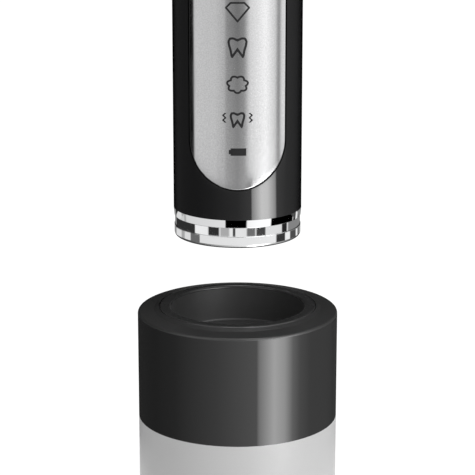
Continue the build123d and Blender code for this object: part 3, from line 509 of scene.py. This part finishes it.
def tuft(one_strand):
    """A round bundle of strands that fans out a little towards its tips."""
    bundle_reach = TUFT_RINGS * STRAND_PITCH
    strands = []
    for x, z in ring_places(TUFT_RINGS, STRAND_PITCH):
        twin = copy_of(one_strand)
        twin.location = (x * MM, 0, z * MM)
        fan = math.radians(STRAND_SPLAY_DEGREES) / bundle_reach
        twin.rotation_euler = (z * fan, 0, -x * fan)
        strands.append(twin)
    bundle = join(strands, "tuft")
    make_active(bundle)
    bpy.ops.object.transform_apply(location=True, rotation=True, scale=True)
    return bundle


def tuft_places():
    """Where the tufts stand on the rounded pad, and how long each row is trimmed."""
    end_radius = PAD_WIDTH / 2 - TUFT_MARGIN
    end_start = (PAD_LENGTH - PAD_WIDTH) / 2
    places = []
    for row in range(TUFT_ROWS):
        row_place = row - (TUFT_ROWS - 1) / 2
        row_height = row_place * TUFT_PITCH_Z
        beyond = max(abs(row_height) + TUFT_HALF - end_start, 0)
        row_reach = math.sqrt(max(end_radius ** 2 - beyond ** 2, 0)) - TUFT_HALF
        row_length = STRAND_LENGTH + TRIM_WAVE * math.cos(math.radians(TRIM_STEP_DEGREES * row_place))
        for column in range(TUFT_COLUMNS):
            x = (column - (TUFT_COLUMNS - 1) / 2) * TUFT_PITCH_X
            if abs(x) <= row_reach:
                places.append((x, row_height, row_length))
    return places


def bristle_pad():
    """The rounded slice of the paddle that the tufts stand in."""
    deselect_all()
    bpy.ops.mesh.primitive_cylinder_add(
        vertices=PAD_SIDES,
        radius=PAD_WIDTH / 2 * MM,
        depth=PAD_THICKNESS * MM,
        location=(0, pad_back - PAD_THICKNESS / 2 * MM, pad_middle),
        rotation=(math.radians(90), 0, 0),
    )
    pad = bpy.context.object
    bpy.ops.object.transform_apply(location=True, rotation=True, scale=True)
    edit(pad)
    half_straight = (PAD_LENGTH - PAD_WIDTH) / 2 * MM
    bpy.ops.mesh.select_all(action="SELECT")
    bpy.ops.mesh.bisect(plane_co=(0, 0, pad_middle), plane_no=(0, 0, 1))
    pick(pad, "vertices", lambda place: place.z > pad_middle + NEAR * MM)
    bpy.ops.transform.translate(value=(0, 0, half_straight))
    pick(pad, "vertices", lambda place: place.z < pad_middle - NEAR * MM)
    bpy.ops.transform.translate(value=(0, 0, -half_straight))
    front = pad_back - PAD_THICKNESS * MM
    pick(pad, "polygons", lambda middle: middle.y < front + NEAR * MM)
    bpy.ops.mesh.region_to_loop()
    bpy.ops.mesh.bevel(offset=PAD_ROUNDING * MM, segments=PAD_ROUNDING_STEPS, affect="EDGES")
    leave_edit()
    return pad


def bristle_field():
    chance = random.Random(TUFT_SEED)
    one_strand = strand()
    one_tuft = tuft(one_strand)
    root = pad_back - PAD_THICKNESS / 2 * MM
    tufts = []
    for x, height, length in tuft_places():
        twin = copy_of(one_tuft)
        twin.location = (x * MM, root, pad_middle + height * MM)
        twin.rotation_euler = (
            math.radians(chance.uniform(-TUFT_LEAN_DEGREES, TUFT_LEAN_DEGREES)),
            math.radians(chance.uniform(0, TUFT_TURN_DEGREES)),
            math.radians(chance.uniform(-TUFT_LEAN_DEGREES, TUFT_LEAN_DEGREES)),
        )
        twin.scale.y = (length + PAD_THICKNESS / 2) / (STRAND_LENGTH + STRAND_TIP)
        tufts.append(twin)
    for spare in (one_strand, one_tuft):
        bpy.data.objects.remove(spare)
    field = join([bristle_pad(), *tufts], "bristle_field")
    make_active(field)
    bpy.ops.object.transform_apply(location=True, rotation=True, scale=True)
    bpy.ops.object.shade_smooth_by_angle(angle=math.radians(SMOOTH_DEGREES))
    dress(field, finishes["bristle"])
    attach(field, "brush_head")
    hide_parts("bristles")


bristle_field()


# Marks: drawn flat in front of the panel, laid onto the panel or the button, then given the thickness of
# print
mark_start = panel_low.y - MARK_START_GAP * MM


def outline(name, corners, rounding, height):
    """A filled flat outline on the XZ plane, drawn corner by corner and rounded."""
    deselect_all()
    places = [Vector((x * MM, mark_start, height + z * MM)) for x, z in corners]
    bpy.ops.mesh.primitive_plane_add(size=MM, location=(0, 0, 0))
    shape = bpy.context.object
    shape.name = name
    bpy.ops.object.mode_set(mode="EDIT")
    bpy.ops.mesh.select_mode(type="VERT")
    bpy.ops.mesh.select_all(action="SELECT")
    bpy.ops.mesh.merge(type="CENTER")
    bpy.ops.transform.translate(value=places[0])
    for here, there in zip(places, places[1:]):
        bpy.ops.mesh.extrude_vertices_move(TRANSFORM_OT_translate={"value": there - here})
    bpy.ops.mesh.select_all(action="SELECT")
    bpy.ops.mesh.edge_face_add()
    if rounding:
        bpy.ops.mesh.bevel(
            offset=rounding * MM,
            affect="VERTICES",
            segments=CORNER_STEPS,
            clamp_overlap=True,
        )
    leave_edit()
    return shape


def moved_in(corners, stroke):
    """The corners of a clockwise outline, moved so that its sides lie a stroke further in."""
    places = [Vector(corner) for corner in corners]
    inner = []
    for before, here, after in zip(places[-1:] + places[:-1], places, places[1:] + places[:1]):
        arriving = (here - before).normalized()
        leaving = (after - here).normalized()
        inwards = Vector((arriving.y + leaving.y, -arriving.x - leaving.x))
        inner.append(here + inwards * stroke / (1 + arriving.dot(leaving)))
    return inner


def line_drawing(name, outer, inner, rounding, height):
    """A flat stroke between an outer outline, whose corners are rounded, and an inner one."""
    rim = outline(name, outer, rounding, height)
    hollow = outline("hollow", inner, 0, height)
    shape = join([rim, hollow], name)
    edit(shape)
    bpy.ops.mesh.select_all(action="SELECT")
    bpy.ops.mesh.delete(type="ONLY_FACE")
    bpy.ops.mesh.select_all(action="SELECT")
    bpy.ops.mesh.remove_doubles(threshold=DOUBLES * MM)
    bpy.ops.mesh.fill()
    bpy.ops.mesh.select_all(action="SELECT")
    bpy.ops.mesh.subdivide(number_cuts=STROKE_CUTS)
    leave_edit()
    return shape


def lay_on(shape, node, thickness):
    """Lays a flat shape onto the front of a CAD node and gives it a thickness."""
    apply_modifier(
        shape,
        "SHRINKWRAP",
        target=frame["nodes"][node],
        wrap_method="PROJECT",
        use_project_y=True,
        use_positive_direction=True,
        use_negative_direction=False,
    )
    apply_modifier(shape, "SOLIDIFY", thickness=thickness * MM, offset=0.0)
    settle(shape)


def mirrored(half):
    left = [(-x, z) for x, z in reversed(half) if x > 0]
    return list(half) + left


def tooth_mark(name, height, scale):
    """A tooth with two roots. Inside, each root ends in a point, because its strokes meet above the tip."""
    blunt = mirrored((*TOOTH_CROWN_HALF, *TOOTH_ROOT_TIP, TOOTH_FORK))
    pointed = mirrored((*TOOTH_CROWN_HALF, TOOTH_ROOT_SIDES_MEET, TOOTH_FORK))
    outer = [(x * scale, z * scale) for x, z in blunt]
    inner = moved_in([(x * scale, z * scale) for x, z in pointed], TOOTH_STROKE)
    return line_drawing(name, outer, inner, TOOTH_ROUNDING * scale, height)


def diamond_mark(name, height):
    inner = moved_in(DIAMOND_CORNERS, DIAMOND_STROKE)
    return line_drawing(name, DIAMOND_CORNERS, inner, DIAMOND_ROUNDING, height)


def cloud_mark(name, height):
    corners = []
    for step in range(CLOUD_POINTS):
        angle = 2 * math.pi * step / CLOUD_POINTS
        reach = 1 + CLOUD_LOBE_RISE * abs(math.cos(CLOUD_LOBES / 2 * angle))
        x = CLOUD_HALF_WIDTH * reach * math.sin(angle)
        z = -CLOUD_HALF_HEIGHT * reach * math.cos(angle)
        corners.append((x, z))
    corners.reverse()
    return line_drawing(name, corners, moved_in(corners, CLOUD_STROKE), 0, height)


def patch(name, left, right, tall, height):
    """A filled flat rectangle on the XZ plane, in small squares so that it can follow a round surface."""
    deselect_all()
    bpy.ops.mesh.primitive_grid_add(
        x_subdivisions=BATTERY_COLUMNS,
        y_subdivisions=BATTERY_ROWS,
        size=MM,
        location=((left + right) / 2 * MM, mark_start, height),
        rotation=(math.radians(90), 0, 0),
    )
    shape = bpy.context.object
    shape.name = name
    shape.scale = (right - left, tall, 1)
    bpy.ops.object.transform_apply(location=True, rotation=True, scale=True)
    return shape


def battery_mark(name, height):
    """A filled bar with a narrower nub at its left end."""
    left = -BATTERY_WIDTH / 2
    bar = patch(name, left + BATTERY_NUB, BATTERY_WIDTH / 2, BATTERY_TALL, height)
    nub = patch("battery_nub", left, left + BATTERY_NUB, BATTERY_TALL * BATTERY_NUB_SHARE, height)
    return join([bar, nub], name)


def squiggle_mark(name, height, side):
    """A short upright wave, drawn by pulling a short edge along it."""
    deselect_all()
    bpy.ops.mesh.primitive_plane_add(size=MM, location=(0, 0, 0))
    shape = bpy.context.object
    shape.name = name
    places = []
    for step in range(SQUIGGLE_STEPS + 1):
        share = step / SQUIGGLE_STEPS
        x = side * (SQUIGGLE_PLACE - SQUIGGLE_SWING * math.cos(2 * math.pi * SQUIGGLE_WAVES * share))
        z = SQUIGGLE_RISE + (0.5 - share) * SQUIGGLE_TALL
        places.append(Vector((x * MM, mark_start, height + z * MM)))
    edit(shape)
    pick(shape, "vertices", lambda place: place.y > 0)
    bpy.ops.mesh.delete(type="VERT")
    bpy.ops.mesh.select_all(action="SELECT")
    bpy.ops.transform.resize(value=(SQUIGGLE_STROKE, 1, 1), center_override=(0, 0, 0))
    edge_place = Vector((0, -MM / 2, 0))
    bpy.ops.transform.translate(value=places[0] - edge_place)
    for here, there in zip(places, places[1:]):
        bpy.ops.mesh.extrude_edges_move(TRANSFORM_OT_translate={"value": there - here})
    leave_edit()
    return shape


def power_mark(name, height):
    """An open ring with an upright bar in its gap."""
    half_gap = math.radians(POWER_GAP_DEGREES)
    rims = []
    for radius in (POWER_RADIUS + POWER_STROKE / 2, POWER_RADIUS - POWER_STROKE / 2):
        rim = []
        for step in range(POWER_STEPS + 1):
            angle = half_gap + (2 * math.pi - 2 * half_gap) * step / POWER_STEPS
            rim.append((radius * math.sin(angle), radius * math.cos(angle)))
        rims.append(rim)
    ring = outline(name, rims[0] + rims[1][::-1], 0, height)
    half = POWER_STROKE / 2
    bar_corners = (
        (-half, POWER_BAR_LOW),
        (-half, POWER_BAR_HIGH),
        (half, POWER_BAR_HIGH),
        (half, POWER_BAR_LOW),
    )
    bar = outline("power_bar", bar_corners, POWER_BAR_ROUNDING, height)
    return join([ring, bar], name)


def button_marks():
    mark = power_mark("power_mark", button_height)
    lay_on(mark, "power_button", MARK_THICKNESS)
    dress(mark, button_mark_finish)
    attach(mark, "power_button")


def panel_marks():
    battery = battery_mark("battery_mark", handle_bottom + BATTERY_MARK_HEIGHT * MM)
    gentle_height = handle_bottom + GENTLE_MARK_HEIGHT * MM
    gentle = tooth_mark("gentle_mark", gentle_height, GENTLE_TOOTH_SCALE)
    waves = [squiggle_mark("gentle_wave", gentle_height, side) for side in (-1, 1)]
    gum = cloud_mark("gum_mark", handle_bottom + GUM_MARK_HEIGHT * MM)
    clean = tooth_mark("clean_mark", handle_bottom + CLEAN_MARK_HEIGHT * MM, 1)
    polish = diamond_mark("polish_mark", handle_bottom + POLISH_MARK_HEIGHT * MM)
    for shape in (battery, join([gentle, *waves], "gentle_mark"), gum, clean, polish):
        lay_on(shape, "steel_panel", MARK_THICKNESS)
        dress(shape, mark_finish)
        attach(shape, "handle")


panel_marks()
button_marks()


# Studio: floor, light tents with bright and dark stretches, lamps, surroundings and camera

def bare_finish(name):
    """A finish without a shader, for the stage."""
    finish = new_finish(name)
    finish.node_tree.nodes.remove(shader_of(finish))
    return finish


def math_node(tree, operation, first, second=None):
    node = tree.nodes.new("ShaderNodeMath")
    node.operation = operation
    for index, value in enumerate((first, second)):
        if value is None:
            continue
        if isinstance(value, (int, float)):
            node.inputs[index].default_value = value
        else:
            tree.links.new(value, node.inputs[index])
    return node.outputs["Value"]


def sees_backdrop(tree):
    """1 for rays from the camera and for reflected or refracted rays, 0 for the rest."""
    path = tree.nodes.new("ShaderNodeLightPath")
    total = path.outputs["Is Camera Ray"]
    for ray in ("Is Glossy Ray", "Is Transmission Ray"):
        total = math_node(tree, "MAXIMUM", total, path.outputs[ray])
    return total


def studio_floor():
    deselect_all()
    bpy.ops.mesh.primitive_plane_add(size=FLOOR_SIZE * MM, location=(0, 0, 0))
    floor = bpy.context.object
    floor.name = "studio_floor"
    finish = bare_finish("white_floor")
    tree = finish.node_tree
    glow = tree.nodes.new("ShaderNodeEmission")
    glow.inputs["Strength"].default_value = FLOOR_GLOW
    shaded = tree.nodes.new("ShaderNodeBsdfDiffuse")
    shaded.inputs["Color"].default_value = (FLOOR_SHADED, FLOOR_SHADED, FLOOR_SHADED, 1)
    seen = tree.nodes.new("ShaderNodeAddShader")
    plain = tree.nodes.new("ShaderNodeBsdfDiffuse")
    plain.inputs["Color"].default_value = (FLOOR_ALBEDO, FLOOR_ALBEDO, FLOOR_ALBEDO, 1)
    choose = tree.nodes.new("ShaderNodeMixShader")
    tree.links.new(glow.outputs["Emission"], seen.inputs[0])
    tree.links.new(shaded.outputs["BSDF"], seen.inputs[1])
    tree.links.new(sees_backdrop(tree), choose.inputs["Fac"])
    tree.links.new(plain.outputs["BSDF"], choose.inputs[1])
    tree.links.new(seen.outputs["Shader"], choose.inputs[2])
    tree.links.new(choose.outputs["Shader"], tree.nodes["Material Output"].inputs["Surface"])
    dress(floor, finish)


def carded_wall(left, right, cards):
    """Stops for a bright wall with darker cards hung on it, each with its start, end and brightness."""
    def wall(place):
        return left + (right - left) * (place + 1) / 2

    stops = []
    for start, end, glow in cards:
        stops.append((start, wall(start)))
        stops.append((start + CARD_EDGE, glow))
        stops.append((end - CARD_EDGE, glow))
        stops.append((end, wall(end)))
    return tuple(stops)


# What each part mirrors: a long strip light to the right in the black plastic, the same strip and a dark
# band in the steel, and bright walls with dark cards in the three bands of the chrome ring
charger_wall = (
    (-1.0, 0.0),
    (-0.80, 0.09),
    (-0.60, 0.18),
    (-0.20, 0.52),
    (0.19, 1.0),
    (0.20, 2.1),
    (0.35, 5.0),
    (0.45, 3.8),
    (0.53, 1.45),
    (0.60, 0.75),
    (0.70, 0.44),
    (0.94, 0.11),
    (1.0, 0.0),
)
foot_wall = (
    (-0.97, 0.0),
    (-0.90, 0.06),
    (-0.60, 0.07),
    (-0.40, 0.11),
    (0.0, 0.25),
    (0.212, 0.5),
    (0.222, 3.0),
    (0.37, 7.8),
    (0.46, 7.3),
    (0.586, 2.9),
    (0.596, 0.50),
    (0.745, 0.24),
    (0.93, 0.03),
    (0.97, 0.0),
)
under_ring_wall = (
    (-1.0, 0.4),
    (1.0, 0.4),
)
upper_band_wall = (
    (-0.975, 0.30),
    (-0.96, 0.50),
    (-0.85, 0.66),
    (-0.82, 0.38),
    (-0.80, 0.70),
    (-0.195, 0.80),
    (-0.185, 0.0),
    (0.14, 0.0),
    (0.15, 1.0),
    (0.52, 1.2),
    (0.53, 0.0),
    (0.865, 0.0),
    (0.870, 0.9),
    (0.880, 0.0),
)
lower_band_cards = (
    (-0.88, -0.82, 0.42),
    (-0.735, -0.58, 0.15),
    (0.595, 0.745, 0.04),
    (0.815, 0.92, 0.08),
)
lower_band_wall = (
    (-0.965, 0.30),
    (-0.955, 0.75),
    *carded_wall(0.75, 0.95, lower_band_cards),
    (0.935, 0.90),
    (0.95, 0.15),
    (0.965, 0.15),
    (0.975, 0.35),
)
groove_cards = (
    (-0.46, -0.28, 0.03),
    (-0.27, -0.125, 0.44),
    (-0.078, -0.030, 0.05),
    (0.14, 0.28, 0.17),
    (0.29, 0.44, 0.06),
    (0.69, 0.78, 0.02),
)
groove_wall = (
    (-0.975, 0.30),
    (-0.965, 0.03),
    (-0.67, 0.03),
    (-0.66, 0.92),
    *carded_wall(0.95, 0.75, groove_cards),
    (0.79, 0.77),
    (0.80, 0.25),
)


def panel_wall(band, strip):
    """A bright wall to the left, a dark band in the middle, a strip light and a dark line to the right."""
    return (
        (-0.97, 0.0),
        (-0.90, 0.06),
        (-0.735, 0.07),
        (-0.725, 0.005),
        (-0.648, 0.005),
        (-0.635, 0.85),
        (-0.33, 0.80),
        (-0.185, 0.64),
        (-0.170, band + 0.15),
        (0.0, band),
        (0.10, band + 0.11),
        (0.18, strip),
        (0.41, 1.42 * strip),
        (0.552, 0.95 * strip),
        (0.592, 0.42),
        (0.617, 0.42),
        (0.647, 1.0),
        (0.73, 1.2),
        (0.745, 0.24),
        (0.93, 0.03),
        (0.97, 0.0),
    )


upper_panel_wall = panel_wall(0.24, 1.0)
lower_panel_wall = panel_wall(0.38, 1.0)
panel_end_wall = panel_wall(0.42, 0.22)
top_wall = (
    (-0.97, 0.0),
    (-0.90, 0.06),
    (-0.66, 0.07),
    (0.0, 0.25),
    (0.21, 0.5),
    (0.22, 1.6),
    (0.37, 3.0),
    (0.586, 1.5),
    (0.596, 0.5),
    (0.745, 0.24),
    (0.93, 0.03),
    (0.97, 0.0),
)


def mirrored_height(seen):
    """Height of the tall tent's front that a height on the handle's front mirrors, both in millimetres."""
    rise = math.radians(CAMERA_ELEVATION)
    camera_height = handle_bottom / MM - CAMERA_TARGET_DROP + CAMERA_DISTANCE * math.sin(rise)
    front = handle_radius / MM
    camera_away = CAMERA_DISTANCE * math.cos(rise) - front
    return seen - (TENT_RADIUS - front) * (camera_height - seen) / camera_away


panel_end_level = mirrored_height(panel_low.z / MM)

# Each tent's stretches: start height, how softly it starts, stops, brightness of the strip behind, and
# whether the start follows the panel's round end
Stretch = namedtuple("Stretch", "start softness stops strip round_end", defaults=(0.0, False))
TALL_TENT_STRETCHES = (
    Stretch(0.0, 0.5, under_ring_wall),
    Stretch(33.5, 1.0, upper_band_wall),
    Stretch(45.4, 0.2, lower_band_wall),
    Stretch(48.1, 0.2, groove_wall),
    Stretch(51.4, 0.4, foot_wall),
    Stretch(panel_end_level, 0.4, panel_end_wall, 0.0, True),
    Stretch(panel_end_level + 2.6, 2.0, lower_panel_wall, 0.0, True),
    Stretch(85.0, 50.0, upper_panel_wall),
    Stretch(135.0, 50.0, upper_panel_wall, 1.3),
    Stretch(188.0, 12.0, top_wall, 1.3),
)
CHARGER_TENT_STRETCHES = (
    Stretch(0.0, 0.5, charger_wall, 1.3),
    Stretch(42.0, 6.0, charger_wall, 0.3),
)


def tent_turn(across, mirror_radius, tent_radius):
    """Where round a tent, in half turns, an upright round mirror looks at a share of its half width."""
    sideways = mirror_radius * across
    mirrored = 2 * math.asin(across) + math.atan(sideways / CAMERA_DISTANCE)
    return (mirrored - math.asin(sideways / tent_radius)) / math.pi


def wall_glow(tree, turn, stops, strip_glow, mirror_radius, tent_radius):
    """Brightness round the tent for one stretch of its wall, along a ramp."""
    turns = [(tent_turn(across, mirror_radius, tent_radius), glow) for across, glow in stops]
    if strip_glow:
        edge = 1 - tent_turn(BACK_STRIP_EDGE, mirror_radius, tent_radius)
        middle = 1 - tent_turn(BACK_STRIP_MIDDLE, mirror_radius, tent_radius)
        turns = [(-middle, strip_glow), (-edge, 0.0), *turns, (edge, 0.0), (middle, strip_glow)]
    brightest = max(glow for _, glow in turns)
    ramp = tree.nodes.new("ShaderNodeValToRGB")
    elements = ramp.color_ramp.elements
    while len(elements) < len(turns):
        elements.new(1.0)
    for element, (turned, glow) in zip(elements, turns):
        element.position = (turned + 1) / 2
        level = glow / brightest
        element.color = (level, level, level, 1)
    tree.links.new(turn, ramp.inputs["Fac"])
    return math_node(tree, "MULTIPLY", ramp.outputs["Color"], brightest)


def end_rise(tree, angle):
    """How much higher than in the middle the panel's round end is mirrored, by the angle round the tent."""
    end_radius = panel_half_width / MM
    facing = math_node(tree, "MULTIPLY", angle, TENT_FACING_SHARE)
    sideways = math_node(tree, "MULTIPLY", math_node(tree, "SINE", facing), handle_radius / MM)
    squared = math_node(tree, "MULTIPLY", sideways, sideways)
    within = math_node(tree, "MINIMUM", squared, end_radius ** 2)
    drop = math_node(tree, "SQRT", math_node(tree, "SUBTRACT", end_radius ** 2, within))
    spread = mirrored_height(1.0) - mirrored_height(0.0)
    return math_node(tree, "MULTIPLY", math_node(tree, "SUBTRACT", end_radius, drop), spread)


def tent_wall(name, stretches, mirror_radius, tent_radius):
    finish = bare_finish(name)
    tree = finish.node_tree
    place = tree.nodes.new("ShaderNodeTexCoord")
    axes = tree.nodes.new("ShaderNodeSeparateXYZ")
    tree.links.new(place.outputs["Object"], axes.inputs["Vector"])
    x = math_node(tree, "MULTIPLY", axes.outputs["X"], 1 / MM)
    front = math_node(tree, "MULTIPLY", axes.outputs["Y"], -1 / MM)
    height = math_node(tree, "MULTIPLY", axes.outputs["Z"], 1 / MM)
    angle = math_node(tree, "ARCTAN2", x, front)
    turn = math_node(tree, "ADD", math_node(tree, "DIVIDE", angle, 2 * math.pi), 0.5)
    # Sideways looks travel further and land lower, so borders that look level dip towards the back.
    half_cosine = math_node(tree, "COSINE", math_node(tree, "MULTIPLY", angle, 0.5))
    dip = math_node(tree, "SUBTRACT", 1, half_cosine)
    dip = math_node(tree, "MULTIPLY", dip, mirror_radius * math.tan(math.radians(CAMERA_ELEVATION)))
    level = math_node(tree, "ADD", height, dip)
    over_end = math_node(tree, "SUBTRACT", level, end_rise(tree, angle))
    first = stretches[0]
    glow = wall_glow(tree, turn, first.stops, first.strip, mirror_radius, tent_radius)
    for stretch in stretches[1:]:
        border = tree.nodes.new("ShaderNodeMapRange")
        border.interpolation_type = "SMOOTHSTEP"
        border.inputs["From Min"].default_value = stretch.start - stretch.softness / 2
        border.inputs["From Max"].default_value = stretch.start + stretch.softness / 2
        tree.links.new(over_end if stretch.round_end else level, border.inputs["Value"])
        mix = tree.nodes.new("ShaderNodeMix")
        tree.links.new(border.outputs["Result"], mix.inputs["Factor"])
        tree.links.new(glow, mix.inputs["A"])
        higher = wall_glow(tree, turn, stretch.stops, stretch.strip, mirror_radius, tent_radius)
        tree.links.new(higher, mix.inputs["B"])
        glow = mix.outputs["Result"]
    lamp = tree.nodes.new("ShaderNodeEmission")
    tree.links.new(glow, lamp.inputs["Strength"])
    tree.links.new(lamp.outputs["Emission"], tree.nodes["Material Output"].inputs["Surface"])
    finish.cycles.emission_sampling = "NONE"
    return finish


def light_tent(name, radius, height, mirror_radius, stretches):
    deselect_all()
    bpy.ops.mesh.primitive_cylinder_add(
        vertices=TENT_SIDES,
        radius=radius * MM,
        depth=height * MM,
        end_fill_type="NOTHING",
        location=(0, 0, height / 2 * MM),
    )
    tent = bpy.context.object
    tent.name = name
    bpy.ops.object.transform_apply(location=True, rotation=True, scale=True)
    dress(tent, tent_wall(name, stretches, mirror_radius, radius))
    tent.visible_camera = False
    tent.visible_diffuse = False
    tent.visible_shadow = False
    tent.visible_transmission = False


def softbox(name, azimuth, elevation, distance, size, power):
    """A square area lamp aimed at the middle of the handle's lower end."""
    deselect_all()
    target = Vector((0, 0, handle_bottom))
    turn = math.radians(azimuth)
    rise = math.radians(elevation)
    away = Vector((math.sin(turn) * math.cos(rise), -math.cos(turn) * math.cos(rise), math.sin(rise)))
    bpy.ops.object.light_add(type="AREA", location=target + away * distance * MM)
    lamp = bpy.context.object
    lamp.name = name
    lamp.rotation_euler = away.to_track_quat("Z", "Y").to_euler()
    lamp.data.size = size * MM
    lamp.data.energy = power
    lamp.visible_camera = False


def surroundings():
    world = bpy.data.worlds.new("white_studio")
    bpy.context.scene.world = world
    world.use_nodes = True
    tree = world.node_tree
    background = tree.nodes["Background"]
    background.inputs["Color"].default_value = (1, 1, 1, 1)
    strength = tree.nodes.new("ShaderNodeMapRange")
    strength.inputs["To Min"].default_value = WORLD_FILL
    strength.inputs["To Max"].default_value = 1.0
    tree.links.new(sees_backdrop(tree), strength.inputs["Value"])
    tree.links.new(strength.outputs["Result"], background.inputs["Strength"])


def camera():
    target = Vector((0, 0, handle_bottom - CAMERA_TARGET_DROP * MM))
    rise = math.radians(CAMERA_ELEVATION)
    away = Vector((0, -math.cos(rise), math.sin(rise)))
    deselect_all()
    bpy.ops.object.camera_add(
        location=target + away * CAMERA_DISTANCE * MM,
        rotation=(math.radians(90) - rise, 0, 0),
    )
    view = bpy.context.object
    view.data.sensor_width = SENSOR_WIDTH
    view.data.lens = CAMERA_LENS
    view.data.clip_start = CAMERA_NEAR * MM
    bpy.context.scene.camera = view


studio_floor()
light_tent("tall_tent", TENT_RADIUS, TENT_HEIGHT, handle_radius / MM, TALL_TENT_STRETCHES)
light_tent(
    "charger_tent",
    CHARGER_TENT_RADIUS,
    CHARGER_TENT_HEIGHT,
    charger_radius / MM,
    CHARGER_TENT_STRETCHES,
)
softbox("key_softbox", **KEY_SOFTBOX)
softbox("top_softbox", **TOP_SOFTBOX)
surroundings()
camera()
bpy.context.scene.view_settings.view_transform = "Standard"
